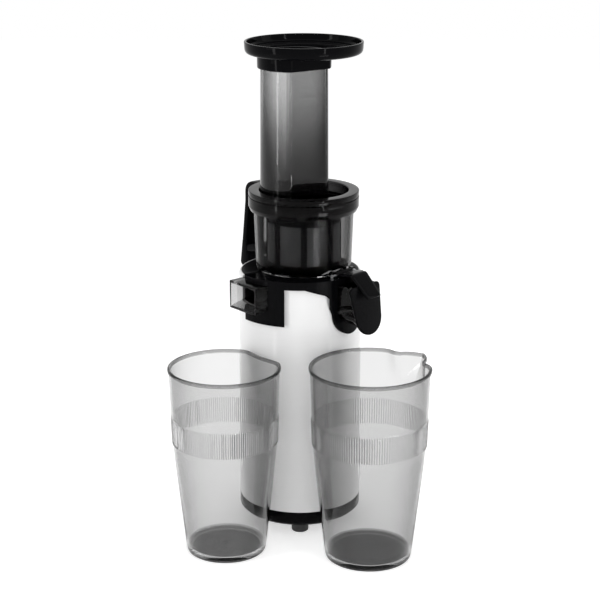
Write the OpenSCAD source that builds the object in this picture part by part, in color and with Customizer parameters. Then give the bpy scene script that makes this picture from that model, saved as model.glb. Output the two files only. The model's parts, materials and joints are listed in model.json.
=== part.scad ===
// Compact vertical juicer: a motor housing with a two-stage planetary drive, a lift-off bowl with
// strainer and auger, a twist lid with feed chute, a hopper tray, and two cups under the outlets.
// Origin: centre of the housing on the surface it stands on. Front is -Y, +Z is up.

/* [Housing] */
// Radius of the motor housing
body_r = 49.5; // [48:0.5:54]
// Wall of the housing
body_wall = 2.2; // [1.6:0.2:3]
// Height of the bowl seat above the table
seat_z = 212; // [206:1:224]
// Height of the rubber feet
foot_h = 8; // [5:0.5:10]
// Radius of a rubber foot
foot_r = 7; // [5:0.5:8]
// Distance of the feet from the housing axis
foot_orbit = 37.5; // [34:0.5:39]
// Height of the black base cover
base_h = 12; // [10:1:16]
// Sideways place of the drive axis
drive_x = 3; // [0:0.5:4]
// Thickness of the top deck above its plug
deck_t = 4; // [3:0.5:5]

/* [Motor and gearbox] */
// Outer radius of the motor can
can_r = 26; // [24:0.5:27]
// Length of the motor can
can_len = 60; // [52:1:62]
// Height of the underside of the motor
motor_z = 46; // [44:1:50]
// Wall of the motor can
can_wall = 2; // [1.5:0.1:2.5]
// Radius of the motor shaft
shaft_r = 3; // [2.5:0.1:3.5]
// Gear module
gear_m = 1; // [0.95:0.05:1.05]
// Face width of each gear stage
gear_w = 12; // [9:1:13]
// Radius of the output shaft in its bearing
out_r = 6; // [5.5:0.1:6.5]
// Width across the flats of the drive hexagon
hex_af = 9; // [8:0.5:9.5]
// Height of the drive hexagon above the seat
hex_h = 17; // [14:1:20]

/* [Bowl] */
// Outer radius of the bowl at its rim
bowl_r_top = 40.3; // [40:0.1:40.8]
// Outer radius of the bowl at its foot
bowl_r_low = 38.4; // [37.8:0.1:39.2]
// Wall of the bowl
bowl_wall = 2; // [1.6:0.1:2.4]
// Height of the bowl from the seat to its rim
bowl_h = 57; // [54:1:62]
// Floor thickness of the bowl
bowl_floor = 3; // [2.5:0.5:4]
// Wall of the skirt that hugs the housing
skirt_wall = 2.3; // [2:0.1:3]
// How far the aprons reach below the seat
apron_drop = 33.5; // [30:0.5:38]
// Direction of the pulp outlet, left of the front
pulp_az = 50; // [48:1:52]
// Reach of the pulp outlet from the drive axis
pulp_reach = 62.7; // [60:0.1:66]
// Width of the pulp outlet
pulp_w = 33.6; // [31:0.2:35]
// Direction of the juice outlet, right of the front
juice_az = 48; // [46:1:50]
// Reach of the juice outlet at its top
juice_reach = 61.5; // [60:0.5:63]
// Width of the juice outlet
juice_w = 29; // [27:0.5:30]
// Lean of the juice outlet's mouth
juice_lean = 11; // [8:0.5:13]

/* [Strainer and auger] */
// Outer radius of the strainer frame
strainer_r = 30; // [29:0.2:31]
// Height of the strainer
strainer_h = 44; // [42:0.5:46]
// Radius of the auger flights at the foot
flight_r = 25.5; // [24:0.1:26]
// Radius of the auger core at the foot
core_r = 16; // [14:0.5:17]
// Taper of the auger towards its top
auger_taper = 0.8; // [0.75:0.01:0.9]

/* [Lid and chute] */
// Wall of the lid ring outside the bowl's lugs
lid_wall = 1.95; // [1.8:0.05:3]
// Height of the lid ring
lid_h = 16; // [15:0.5:18]
// Width of the lid ring's flat top
lid_land = 8.3; // [7.5:0.1:9]
// Depth of the recess inside the lid ring
lid_recess = 10.5; // [8:0.5:11]
// Turn from unlocked to locked
lid_turn = 28; // [24:1:32]
// Outer radius of the feed chute
chute_r = 26.9; // [26:0.1:27.5]
// Wall of the feed chute
chute_wall = 2.2; // [1.8:0.1:2.6]
// Distance of the chute's flat face from its axis
chute_flat = 20.6; // [20:0.1:22]
// Direction of the chute's flat face, right of the front
chute_az = 34.5; // [32:0.5:37]
// Length of the chute above the lid ring
chute_len = 107.5; // [90:1:120]

/* [Hopper tray] */
// Outer radius of the tray
tray_r = 46.65; // [45:0.05:49]
// Height of the tray
tray_h = 9.7; // [9:0.5:12]
// Thickness of the tray
tray_wall = 2.4; // [2:0.1:3]
// Height of the collar that slips over the chute
collar_h = 11; // [9:0.5:14]
// Wall of the collar
collar_wall = 2; // [1.6:0.1:2.4]

/* [Handle] */
// Direction of the handle, left of the front
handle_az = 141; // [138:1:144]
// How far the grip's outer face stands out from the lid
handle_out = 24.3; // [22:0.1:28]
// Width of the handle
handle_w = 16; // [14:0.5:18]
// Thickness of the grip
handle_t = 6; // [5:0.5:7]

/* [Juice cap] */
// Width of the cap plate
cap_w = 36; // [34:0.5:38]
// Thickness of the cap plate
cap_t = 3; // [2.5:0.1:3.5]
// Radius of the cap's round bottom
cap_r = 15; // [14:0.5:17]
// Width of the cap lever
lever_w = 19; // [17:0.5:20]
// Radius of the hinge pin
pin_r = 1.5; // [1.2:0.1:1.8]

/* [Cups] */
// Rim radius of the pulp cup
pulp_cup_r = 44.2; // [42:0.1:44.5]
// Base radius of the pulp cup
pulp_base_r = 32.2; // [31:0.1:34]
// Height of the pulp cup
pulp_cup_h = 153; // [146:1:158]
// Rim radius of the juice cup
juice_cup_r = 47.6; // [45:0.1:48]
// Base radius of the juice cup
juice_base_r = 34.8; // [33:0.1:36]
// Height of the juice cup
juice_cup_h = 157; // [150:1:161]
// Wall of the cups
cup_wall = 2; // [1.6:0.1:2.4]
// Depth of the flat pressed into the pulp cup's rim
cup_flat = 5; // [4:0.5:6.5]
// Reach of the juice cup's spout from the cup's axis
spout_reach = 55; // [52:0.5:57]
// Width of the fluted band
band_h = 21; // [16:1:26]

/* [Fits] */
// Running clearance of shafts in bearings
run_gap = 0.03; // [0.02:0.01:0.06]
// Clearance between parts that lift or slip over each other
slip_gap = 0.4; // [0.3:0.05:0.5]
// Clearance of a screw in its hole
screw_gap = 0.2; // [0.1:0.05:0.3]
// Radius of the cord's hole in the gland
cord_r = 3.6; // [3.2:0.1:4]

/* [Hidden] */
$fn = 96;
eps = 0.01;
PLANETS = 3;

// Heights in the housing
base_top = foot_h + base_h;
deck_low = seat_z - deck_t - 1;
shell_in = body_r - body_wall;
can_top = motor_z + can_len;
plate_t = 4;
plate_top = can_top + plate_t;
box_wall = 3;
stage_gap = 5;
stage1_z = plate_top + 5;
stage2_z = stage1_z + gear_w + stage_gap;
ring_top = stage2_z + gear_w + 4;
cover_t = 5;
box_top = ring_top + cover_t;

// Gear train: sun, planet and ring teeth
SUN_T = 12;
PLANET_T = 15;
RING_T = SUN_T + 2 * PLANET_T;
pressure = 25;
addendum = 0.8 * gear_m;
dedendum = 1.15 * gear_m;
mesh_r = gear_m * (SUN_T + PLANET_T) / 2;
planet_pin_r = 2.5;
carrier_r = mesh_r + planet_pin_r + 2.5;
carrier_t = stage_gap - 1.4;
ring_out_r = gear_m * RING_T / 2 + dedendum + box_wall;
post_r = 3;
post_orbit = ring_out_r + 2.6;
hex_r = hex_af / sqrt(3);
hub_r = 9;
seal_r = 12;

// Heights in the bowl and the lid
bowl_z = seat_z + slip_gap;
floor_top = bowl_z + bowl_floor;
rim_z = bowl_z + bowl_h;
lug_out = 1.5;
lid_skirt_in = bowl_r_top + lug_out + slip_gap;
lid_r = lid_skirt_in + lid_wall;
lid_z = rim_z - lid_h / 2 + 0.6;
lid_top = lid_z + lid_h;
plate_z = lid_top - lid_recess - 2.2;
bowl_in_top = bowl_r_top - bowl_wall;
bowl_in_low = bowl_r_low - bowl_wall;
lug_r = bowl_r_top + lug_out;
tab_r = bowl_r_top + slip_gap;
lug_arc = 24;
lug_h = 2.4;
chute_top = lid_top + chute_len;
tray_z = chute_top + 0.3;
auger_z = floor_top + 1;
auger_h = 38;
pin_top_r = 4;
spigot_gap = 1.9;
lid_spigot_r = bowl_in_top - spigot_gap;
spigot_t = 2;
chute_off = lid_spigot_r - spigot_t - chute_r;
hinge_out = 3.4;
hinge_r = bowl_r_low + hinge_out;
hinge_up = 4;
hinge_z = seat_z + hinge_up;
skirt_in = body_r + slip_gap + 0.2;
skirt_r = skirt_in + skirt_wall;
skirt_top = seat_z + 3;

// Smoke and black plastics
SMOKE = [0.25, 0.25, 0.26, 0.6];
BLACK = [0.04, 0.04, 0.045];
WHITE = [0.93, 0.93, 0.92];
STEEL = [0.75, 0.76, 0.78];

module at_drive(z = 0) translate([drive_x, 0, z]) children();
// Turns +X towards an azimuth counted from the front, right positive
module towards(az) rotate(az - 90) children();
module ring(r_out, r_in, h) {
    difference() {
        cylinder(r = r_out, h = h);
        translate([0, 0, -1]) cylinder(r = r_in, h = h + 2);
    }
}
// Pie slice about Z from angle a to angle b
module slice(r, h, a, b) {
    rotate(a) rotate_extrude(angle = b - a) translate([0, 0]) square([r, h]);
}
module spread(n, r, start = 0) {
    for (i = [0 : n - 1]) rotate(start + 360 / n * i) translate([r, 0, 0]) children();
}
// Involute gears -----------------------------------------------------------------------------
function involute(a) = tan(a) * 180 / PI - a;
function flank(t, r, play) =
    let (rb = gear_m * t * cos(pressure) / 2)
    90 / t * (1 - play) + involute(pressure) - involute(r > rb ? acos(rb / r) : 0);
function tooth(t, ra, rf, play) = concat(
    [for (k = [0 : 3]) let (r = rf + (ra - rf) * k / 3) [r, -flank(t, r, play)]],
    [for (k = [3 : -1 : 0]) let (r = rf + (ra - rf) * k / 3) [r, flank(t, r, play)]]);
module gear_shape(t, add, ded, play) {
    rp = gear_m * t / 2;
    one = tooth(t, rp + add, rp - ded, play);
    polygon([for (i = [0 : t - 1]) for (p = one) p[0] * [cos(i * 360 / t + p[1]), sin(i * 360 / t + p[1])]]);
}
module outer_gear(t, h) linear_extrude(h) gear_shape(t, addendum, dedendum, 0.14);
module inner_gear_cut(t, h) linear_extrude(h) gear_shape(t, dedendum, addendum, -0.02);

// Housing -------------------------------------------------------------------------------------
boss_in = 5;
boss_orbit = shell_in - boss_in;
web_t = 3;
vent_z = 48;
vent_w = 3;
vent_h = 14;
vent_step = 9;
module screw(r, len, head_r, head_h) {
    cylinder(r = r, h = len);
    translate([0, 0, -head_h]) difference() {
        cylinder(r = head_r, h = head_h);
        translate([0, 0, -1]) cylinder(r = r * 0.75, h = 1 + head_h / 2, $fn = 6);
    }
}
shoulder_h = 2;
shoulder_in = 1.4;
gland_up = 12;
gland_z = base_top + gland_up;
gland_r = 7;
gland_half = 5.5;
switch_z = 78;
switch_w = 15;
switch_l = 21;
screw_r = 1.6;
boss_r = 4;
boss_h = 18;
head_out = 1.5;
head_h = 2;

module motor_housing() color(WHITE) {
    difference() {
        union() {
            translate([0, 0, base_top]) cylinder(r = body_r, h = seat_z - shoulder_h - base_top);
            translate([0, 0, seat_z - shoulder_h])
                cylinder(r1 = body_r, r2 = body_r - shoulder_in, h = shoulder_h);
        }
        translate([0, 0, base_top - 1]) cylinder(r = shell_in, h = seat_z);
        translate([0, body_r, gland_z]) cube([2 * gland_half, body_r, 2 * gland_half], center = true);
        at_switch() cube([switch_w, body_r, switch_l], center = true);
        at_switch() translate([0, body_r / 2 - flange_in, 0])
            cube([switch_w + 2 * flange_w, body_r, switch_l + 2 * flange_w], center = true);
        for (k = [-3 : 3]) rotate(k * vent_step) translate([0, body_r, vent_z])
            cube([vent_w, body_r, vent_h], center = true);
        well_room(0);
    }
    intersection() {
        translate([0, 0, base_top]) cylinder(r = shell_in + eps, h = boss_h);
        spread(4, boss_orbit, 45) difference() {
            union() {
                translate([0, 0, base_top]) cylinder(r = boss_r, h = boss_h);
                translate([0, -web_t / 2, base_top]) cube([2 * boss_in, web_t, boss_h]);
            }
            translate([0, 0, base_top - 1]) cylinder(r = screw_r, h = boss_h - head_h);
        }
    }
}

// Wells in the deck and notches in the shell, where the bowl's outlets sit
module pulp_well(grow) towards(-pulp_az)
    translate([0, pulp_w / 2 + grow, 0]) rotate([90, 0, 0]) linear_extrude(pulp_w + 2 * grow)
        polygon([[pulp_start - grow, seat_z + 1], [pulp_start - grow, pulp_z(pulp_start) - grow],
            [well_out, pulp_z(well_out) - grow], [well_out, seat_z + 1]]);
module juice_well(grow) towards(juice_az) {
    w = juice_w + 2 * grow;
    intersection() {
        translate([0, w / 2, 0]) rotate([90, 0, 0]) linear_extrude(w)
            polygon([[juice_start - grow, seat_z + 1],
                [juice_start - grow, juice_low + juice_rise - grow],
                [chin_r, juice_low + chin_up - grow], [well_out, juice_low + chin_up - grow],
                [well_out, seat_z + 1]]);
        outlet_front(w, juice_low - grow);
    }
}
// U shape of the juice outlet seen from its front, extruded outwards from the drive axis
module outlet_front(w, low) rotate([90, 0, 90]) linear_extrude(2 * body_r) {
    translate([0, low + w / 2]) circle(r = w / 2);
    translate([-w / 2, low + w / 2]) square([w, 2 * body_r]);
}
module well_room(grow) at_drive() {
    pulp_well(well_gap + grow);
    juice_well(well_gap + grow);
}
well_gap = 0.6;
well_wall = 2;
well_out = pulp_reach + 10;
deck_edge = 0.5;
plug_h = 6;
plug_t = 2.4;
seat_wall = 2;
module top_deck() color(BLACK) {
    difference() {
        union() {
            translate([0, 0, deck_low]) cylinder(r = shell_in, h = seat_z - deck_low);
            translate([0, 0, deck_low - plug_h]) ring(shell_in, shell_in - plug_t, plug_h);
            intersection() {
                well_room(well_wall);
                translate([0, 0, base_top]) cylinder(r = shell_in, h = seat_z - base_top);
            }
            at_drive(deck_low - plug_h) cylinder(r = seal_r + seat_wall, h = plug_h);
        }
        well_room(0);
        at_drive(deck_low - plug_h - 1) cylinder(r = seal_r, h = plug_h + 3 * deck_t);
        at_plunger() cylinder(r = plunger_r + screw_gap, h = 2 * seat_z);
    }
}

base_t = 4;
base_bevel = 2.5;
recess_gap = 1.8;
grille_l = 14;
grille_w = 2.2;
grille_step = 5;
stud_in = 2;
stud_h = 2;
module base_cover() color(BLACK) {
    difference() {
        union() {
            translate([0, 0, foot_h]) cylinder(r1 = body_r - base_bevel, r2 = body_r, h = base_bevel);
            translate([0, 0, foot_h + base_bevel]) cylinder(r = body_r, h = base_h - base_bevel);
        }
        difference() {
            translate([0, 0, foot_h + base_t]) cylinder(r = shell_in - deck_edge, h = base_h);
            spread(4, boss_orbit, 45) cylinder(r = boss_r, h = 2 * base_top);
        }
        spread(4, boss_orbit, 45) cylinder(r = screw_r + screw_gap, h = 2 * base_top);
        spread(4, boss_orbit, 45) cylinder(r = screw_r + recess_gap, h = foot_h + head_h + 1);
        for (k = [-3 : 3], s = [-1, 1]) translate([s * (foot_r + 2 + grille_l / 2), k * grille_step, foot_h])
            cube([grille_l, grille_w, 3 * base_t], center = true);
        at_feet() cylinder(r = foot_r - stud_in, h = foot_h + stud_h);
    }
}

foot_bevel = 1;
// Four feet round the edge and one in the middle, under the motor
module at_feet() {
    children();
    spread(4, foot_orbit) children();
}
module rubber_feet() color([0.06, 0.06, 0.06]) at_feet() {
    cylinder(r1 = foot_r - foot_bevel, r2 = foot_r, h = foot_bevel);
    translate([0, 0, foot_bevel]) cylinder(r = foot_r, h = foot_h - foot_bevel);
    translate([0, 0, foot_h]) cylinder(r = foot_r - stud_in, h = stud_h);
}

module base_screws() color(STEEL) spread(4, boss_orbit, 45) {
    translate([0, 0, foot_h + head_h + 1])
        screw(screw_r, base_h + boss_h - 2 * base_t, screw_r + head_out, head_h);
}

seal_h = 6;
lip_rise = 3;
lip_t = 1.15;
seal_lip_r = out_r + 0.05;
module shaft_seal() color([0.15, 0.15, 0.16]) at_drive(seat_z - seal_h) {
    difference() {
        union() {
            cylinder(r = seal_r, h = seal_h);
            translate([0, 0, seal_h]) cylinder(r1 = hub_r, r2 = seal_lip_r + lip_t, h = lip_rise);
        }
        translate([0, 0, -1]) cylinder(r = seal_lip_r, h = seal_h + lip_rise + 2);
    }
}

gland_lip = 2;
gland_nut = 5.8;
gland_nose = 4;
gland_in = 3.2;
gland_land = 1;
module cord_gland() color(BLACK) translate([0, body_r, gland_z]) rotate([-90, 0, 0]) difference() {
    union() {
        translate([-gland_half, -gland_half, -gland_in])
            cube([2 * gland_half, 2 * gland_half, gland_in + gland_land]);
        translate([0, 0, gland_land]) cylinder(r1 = gland_r + gland_lip, r2 = gland_r, h = gland_nose);
        translate([0, 0, -gland_in - gland_nut]) cylinder(r = gland_r + gland_lip, h = gland_nut);
    }
    cylinder(r = cord_r, h = body_r, center = true);
}

frame_t = 1.6;
frame_depth = 15;
flange_t = 2.6;
flange_w = 2;
flange_in = 1;
pivot_in = 3;
pivot_r = 1.2;
rocker_gap = 0.6;
rocker_w = switch_w - 2 * frame_t - rocker_gap;
rocker_r = (switch_l - 2 * frame_t) / 2 - rocker_gap;
rocker_deep = 12;
tab_l = 6;
module at_switch() translate([0, body_r, switch_z]) children();
module switch_frame() color(BLACK) at_switch() {
    difference() {
        union() {
            translate([0, -frame_depth / 2, 0]) cube([switch_w, frame_depth, switch_l], center = true);
            translate([0, flange_t / 2 - flange_in, 0])
                cube([switch_w + 2 * flange_w, flange_t, switch_l + 2 * flange_w], center = true);
        }
        translate([0, frame_depth / 2, 0])
            cube([switch_w - 2 * frame_t, 3 * frame_depth - 4 * frame_t, switch_l - 2 * frame_t],
                center = true);
        translate([0, -pivot_in, 0]) rotate([0, 90, 0])
            cylinder(r = pivot_r + run_gap, h = switch_w + 1, center = true);
    }
    for (k = [-1 : 1]) translate([k * switch_w / 4, -frame_depth - tab_l / 2, 0])
        cube([1, tab_l, tab_l], center = true);
}
module rocker_switch() color(BLACK) at_switch() translate([0, -pivot_in, 0]) {
    intersection() {
        rotate([0, 90, 0]) cylinder(r = rocker_r, h = rocker_w, center = true);
        translate([0, rocker_deep / 2 - 1, 0]) cube([rocker_w, rocker_deep, 2 * rocker_r], center = true);
    }
    rotate([0, 90, 0]) cylinder(r = pivot_r, h = switch_w - slip_gap, center = true);
}

plunger_in = 11.9;
plunger_dir = 137.3;
plunger_r = 2;
plunger_travel = 1.5;
plunger_top = seat_z - 0.2;
plunger_len = 17;
collar_out = 1.2;
button_h = 2;
micro_w = 20;
micro_t = 6;
micro_h = 10;
micro_gap = 0.5;
bracket_t = 3;
pin_l = 4;
module at_plunger() rotate(plunger_dir) translate([shell_in - plunger_in, 0, 0]) children();
module interlock_plunger() color([0.8, 0.8, 0.8]) at_plunger() translate([0, 0, plunger_top - plunger_len]) {
    cylinder(r = plunger_r, h = plunger_len);
    cylinder(r = plunger_r + collar_out, h = button_h);
}
module interlock_switch() color([0.2, 0.2, 0.22]) at_plunger() {
    top = plunger_top - plunger_len - plunger_travel - micro_gap;
    arm_h = deck_low - (top - micro_h);
    translate([0, 0, top - micro_h / 2]) cube([micro_t, micro_w, micro_h], center = true);
    for (s = [-1, 1]) translate([0, s * micro_w / 4, top - micro_h - pin_l / 2])
        cube([micro_t / 2, 1, pin_l], center = true);
    for (s = [-1, 1]) translate([0, s * (micro_w + bracket_t) / 2, top - micro_h + arm_h / 2])
        cube([micro_t, bracket_t, arm_h], center = true);
}

board_w = 44;
board_h = 62;
board_t = 1.6;
board_in = 8.5;
board_z = 72;
part_w = 10;
part_t = 6;
can_d = 10;
post_w = 4;
post_gap = 0.1;
module control_board() color([0.1, 0.3, 0.15]) translate([-shell_in + board_in, 0, board_z]) {
    cube([board_t, board_w, board_h], center = true);
    for (s = [-1, 1]) translate([part_t / 2, s * board_w / 6, -board_h / 6])
        cube([part_t, part_w, 1.4 * part_w], center = true);
    translate([0, 0, board_h / 4]) rotate([0, 90, 0]) cylinder(d = can_d, h = can_d);
    for (s = [-1, 1]) translate([(post_gap - board_in) / 2, 0, s * (board_h / 2 - post_w)])
        cube([board_in - post_gap, post_w, post_w], center = true);
}

// Motor ---------------------------------------------------------------------------------------
magnet_t = 4;
magnet_in = can_r - can_wall - magnet_t;
air_gap = 0.7;
core_out = magnet_in - air_gap;
bearing_r = 8;
bearing_h = 5;
brush_cap_h = 12;
module motor_can() color(STEEL) at_drive(motor_z) {
    difference() {
        cylinder(r = can_r, h = can_len);
        translate([0, 0, -1]) cylinder(r = can_r - can_wall, h = can_len - 1);
        cylinder(r = bearing_r, h = can_len + 1);
    }
}
magnet_up = 10;
magnet_split = 8;
module motor_magnets() color([0.25, 0.25, 0.27]) at_drive(motor_z + magnet_up) difference() {
    ring(can_r - can_wall, magnet_in, can_len - 2 * magnet_up - 2);
    for (a = [0, 90]) rotate(a) translate([0, 0, can_len / 2])
        cube([magnet_split, 3 * can_r, 2 * can_len], center = true);
}
module brush_cap() color([0.12, 0.12, 0.13]) at_drive(motor_z - brush_cap_h) difference() {
    union() {
        cylinder(r = can_r, h = brush_cap_h);
        translate([0, 0, brush_cap_h]) cylinder(r = can_r - can_wall, h = 3);
    }
    translate([0, 0, 3]) cylinder(r = can_r - can_wall - 2, h = brush_cap_h + 3);
    translate([0, 0, -1]) cylinder(r = bearing_r, h = 10);
}
commutator_r = 8;
commutator_h = 12;
brush_l = 10;
brush_w = 5;
brush_gap = 0.1;
module motor_brushes() color([0.2, 0.2, 0.2]) at_drive(motor_z - 4) for (s = [-1, 1])
    translate([s * (commutator_r + brush_gap + brush_l / 2), 0, brush_w / 2])
        cube([brush_l, brush_w, brush_w], center = true);
module bearing() difference() {
    cylinder(r = bearing_r, h = bearing_h);
    translate([0, 0, -1]) cylinder(r = shaft_r + run_gap, h = bearing_h + 2);
    translate([0, 0, bearing_h - 0.8]) ring(bearing_r - 1.4, shaft_r + 1.4, 2);
}
lower_bearing_z = motor_z - brush_cap_h;
upper_bearing_z = can_top - bearing_h;
module lower_bearing() color(STEEL) at_drive(lower_bearing_z) bearing();
module upper_bearing() color(STEEL) at_drive(upper_bearing_z) bearing();
core_up = 12;
core_z = motor_z + core_up;
core_len = can_len - 26;
SLOTS = 8;
slot_w = 2.4;
slot_deep = 7;
module armature_core() color([0.5, 0.35, 0.2]) at_drive(core_z) difference() {
    cylinder(r = core_out, h = core_len);
    translate([0, 0, -1]) cylinder(r = shaft_r, h = core_len + 2);
    for (i = [0 : SLOTS - 1]) rotate(i * 360 / SLOTS) translate([core_out, 0, core_len / 2])
        cube([2 * slot_deep, slot_w, core_len + 2], center = true);
}
module motor_shaft() color(STEEL) at_drive(lower_bearing_z - 1)
    cylinder(r = shaft_r, h = stage1_z + gear_w - lower_bearing_z + 1);
module commutator() color([0.75, 0.45, 0.25]) at_drive(motor_z - commutator_h / 2)
    ring(commutator_r, shaft_r, commutator_h);
module sun_gear() color(STEEL) at_drive(stage1_z) difference() {
    outer_gear(SUN_T, gear_w);
    translate([0, 0, -1]) cylinder(r = shaft_r, h = gear_w + 2);
}

// Gearbox -------------------------------------------------------------------------------------
wire_r = 5;
module mounting_plate() color([0.6, 0.6, 0.62]) difference() {
    translate([0, 0, can_top]) cylinder(r = shell_in, h = plate_t);
    at_drive(can_top - 1) cylinder(r = bearing_r - 1.5, h = plate_t + 2);
    spread(3, shell_in - wire_r + 1, 150) translate([0, 0, can_top - 1])
        cylinder(r = wire_r, h = plate_t + 2);
    at_drive(can_top - 1) spread(4, post_orbit, 45) cylinder(r = screw_r, h = plate_t + 2);
}
module ring_gear() color([0.85, 0.85, 0.82]) at_drive(plate_top) difference() {
    union() {
        cylinder(r = ring_out_r, h = ring_top - plate_top);
        spread(4, post_orbit, 45) cylinder(r = post_r, h = ring_top - plate_top);
    }
    translate([0, 0, -1]) inner_gear_cut(RING_T, ring_top - plate_top + 2);
    spread(4, post_orbit, 45) translate([0, 0, -1]) cylinder(r = screw_r + screw_gap, h = ring_top);
}
hub_wall = 3;
hub_h = 9;
bush_t = 3;
module gearbox_cover() color([0.75, 0.75, 0.74]) at_drive(ring_top) {
    linear_extrude(cover_t) difference() {
        union() {
            circle(r = ring_out_r);
            spread(4, post_orbit, 45) circle(r = post_r);
        }
        circle(r = out_r + bush_t);
        spread(4, post_orbit, 45) circle(r = screw_r + screw_gap);
    }
    translate([0, 0, cover_t]) ring(out_r + bush_t + hub_wall, out_r + bush_t, hub_h);
}
module gearbox_screws() color(STEEL) at_drive(box_top) spread(4, post_orbit, 45)
    mirror([0, 0, 1]) screw(screw_r, box_top - can_top, screw_r + head_out, head_h);
module output_bearing() color([0.7, 0.5, 0.3]) at_drive(ring_top)
    ring(out_r + bush_t, out_r + run_gap, cover_t + hub_h);

disc_gap = 0.7;
module carrier(z) at_drive(z) {
    spread(PLANETS, mesh_r) cylinder(r = planet_pin_r, h = gear_w + carrier_t);
}
module first_carrier() color(STEEL) {
    carrier(stage1_z);
    at_drive(stage1_z + gear_w + disc_gap) cylinder(r = carrier_r, h = carrier_t);
    at_drive(stage1_z + gear_w + disc_gap + carrier_t) outer_gear(SUN_T, gear_w + disc_gap);
}
module drive_shaft() color(STEEL) {
    carrier(stage2_z);
    at_drive(stage2_z + gear_w + disc_gap) cylinder(r = carrier_r, h = carrier_t - 1);
    at_drive(stage2_z + gear_w + disc_gap) cylinder(r = out_r, h = seat_z + 2 - stage2_z - gear_w);
    at_drive(seat_z) cylinder(r = hex_r, h = hex_h, $fn = 6);
}
module planet(z, i) at_drive(z) rotate(i * 360 / PLANETS) translate([mesh_r, 0, 0]) difference() {
    outer_gear(PLANET_T, gear_w);
    translate([0, 0, -1]) cylinder(r = planet_pin_r + run_gap, h = gear_w + 2);
}
module first_planet_a() color([0.85, 0.82, 0.7]) planet(stage1_z, 0);
module first_planet_b() color([0.85, 0.82, 0.7]) planet(stage1_z, 1);
module first_planet_c() color([0.85, 0.82, 0.7]) planet(stage1_z, 2);
module last_planet_a() color([0.85, 0.82, 0.7]) planet(stage2_z, 0);
module last_planet_b() color([0.85, 0.82, 0.7]) planet(stage2_z, 1);
module last_planet_c() color([0.85, 0.82, 0.7]) planet(stage2_z, 2);

// Bowl ----------------------------------------------------------------------------------------
hub_hole_r = 10;
lip_up = 0.8;
hub_play = 0.6;
outlet_drop = 24;
pulp_low = seat_z - outlet_drop;
pulp_high = seat_z - 1.5;
pulp_rise = 12;
pulp_start = seal_r + well_wall + 1;
pulp_drop_r = flight_r + 0.5;
roof_gap = 1;
function pulp_z(r) = pulp_low + pulp_rise * (pulp_reach - r) / (pulp_reach - pulp_start);
// Side view of the pulp outlet: a drop under the floor, then a tube that falls outwards
module pulp_side(inset, out, top) {
    roof_r = pulp_drop_r + bowl_wall + roof_gap - inset;
    polygon([[pulp_start + inset, top], [roof_r, top], [roof_r, pulp_high - inset],
        [pulp_reach + out, pulp_high - inset], [pulp_reach + out, pulp_z(pulp_reach + out) + inset],
        [pulp_start + inset, pulp_z(pulp_start) + inset]]);
}
module pulp_block(inset, out, top) towards(-pulp_az)
    translate([0, pulp_w / 2 - inset, 0]) rotate([90, 0, 0])
        linear_extrude(pulp_w - 2 * inset) pulp_side(inset, out, top);

juice_low = seat_z - apron_drop - 2;
juice_high = seat_z - 1.5;
juice_rise = 20;
chin_up = 4;
chin_r = body_r + 4;
juice_start = strainer_r - 1.5;
juice_drop_r = bowl_in_low - 2.4;
juice_tip = juice_reach + (juice_high - juice_low) * tan(juice_lean);
// Side view of the juice outlet, which leans out towards its foot
module juice_side(inset, out, top) {
    roof_r = juice_drop_r + bowl_wall - inset;
    polygon([[juice_start + inset, top], [roof_r, top], [roof_r, juice_high - inset],
        [juice_reach + out, juice_high - inset], [juice_tip + out, juice_low + inset],
        [juice_tip, juice_low + inset], [chin_r, juice_low + chin_up + inset], [juice_start + inset, juice_low + juice_rise + inset]]);
}
module juice_block(inset, out, top) towards(juice_az) {
    w = juice_w - 2 * inset;
    intersection() {
        translate([0, w / 2, 0]) rotate([90, 0, 0]) linear_extrude(w) juice_side(inset, out, top);
        outlet_front(w, juice_low + inset);
    }
}
// The room inside an outlet; inside the bowl it only goes up through the floor within radius r
module drop_room(r) intersection() {
    children();
    union() {
        cylinder(r = pulp_reach + juice_tip, h = bowl_z - bowl_wall);
        cylinder(r = r, h = rim_z);
    }
}
module pulp_room() drop_room(pulp_drop_r) pulp_block(bowl_wall, 1, floor_top + 1);
module juice_room() drop_room(juice_drop_r) juice_block(bowl_wall, 1, floor_top + 1);
bowl_chin = 2;
module bowl_outer() {
    cylinder(r1 = bowl_r_low - bowl_chin, r2 = bowl_r_low, h = bowl_floor);
    translate([0, 0, bowl_floor]) cylinder(r1 = bowl_r_low, r2 = bowl_r_top, h = bowl_h - bowl_floor);
}
lug_drop = 3.2;
module juicing_bowl() color(SMOKE) at_drive() difference() {
    union() {
        translate([0, 0, bowl_z]) bowl_outer();
        for (i = [0 : 2]) rotate(i * 120) translate([0, 0, rim_z - lug_drop - lug_h])
            slice(lug_r, lug_h, -lug_arc / 2, lug_arc / 2);
        hinge_ears();
    }
    translate([0, 0, floor_top])
        cylinder(r1 = bowl_in_low, r2 = bowl_in_top, h = bowl_h - bowl_floor + eps);
    pulp_room();
    juice_room();
    cylinder(r = hub_hole_r, h = rim_z);
    at_hinge() cylinder(r = pin_r, h = 4 * lever_w, center = true);
}
module pulp_outlet() color(SMOKE) at_drive() difference() {
    pulp_block(0, 0, bowl_z);
    pulp_room();
}
module juice_outlet() color(SMOKE) at_drive() difference() {
    juice_block(0, 0, bowl_z);
    juice_room();
}
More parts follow.
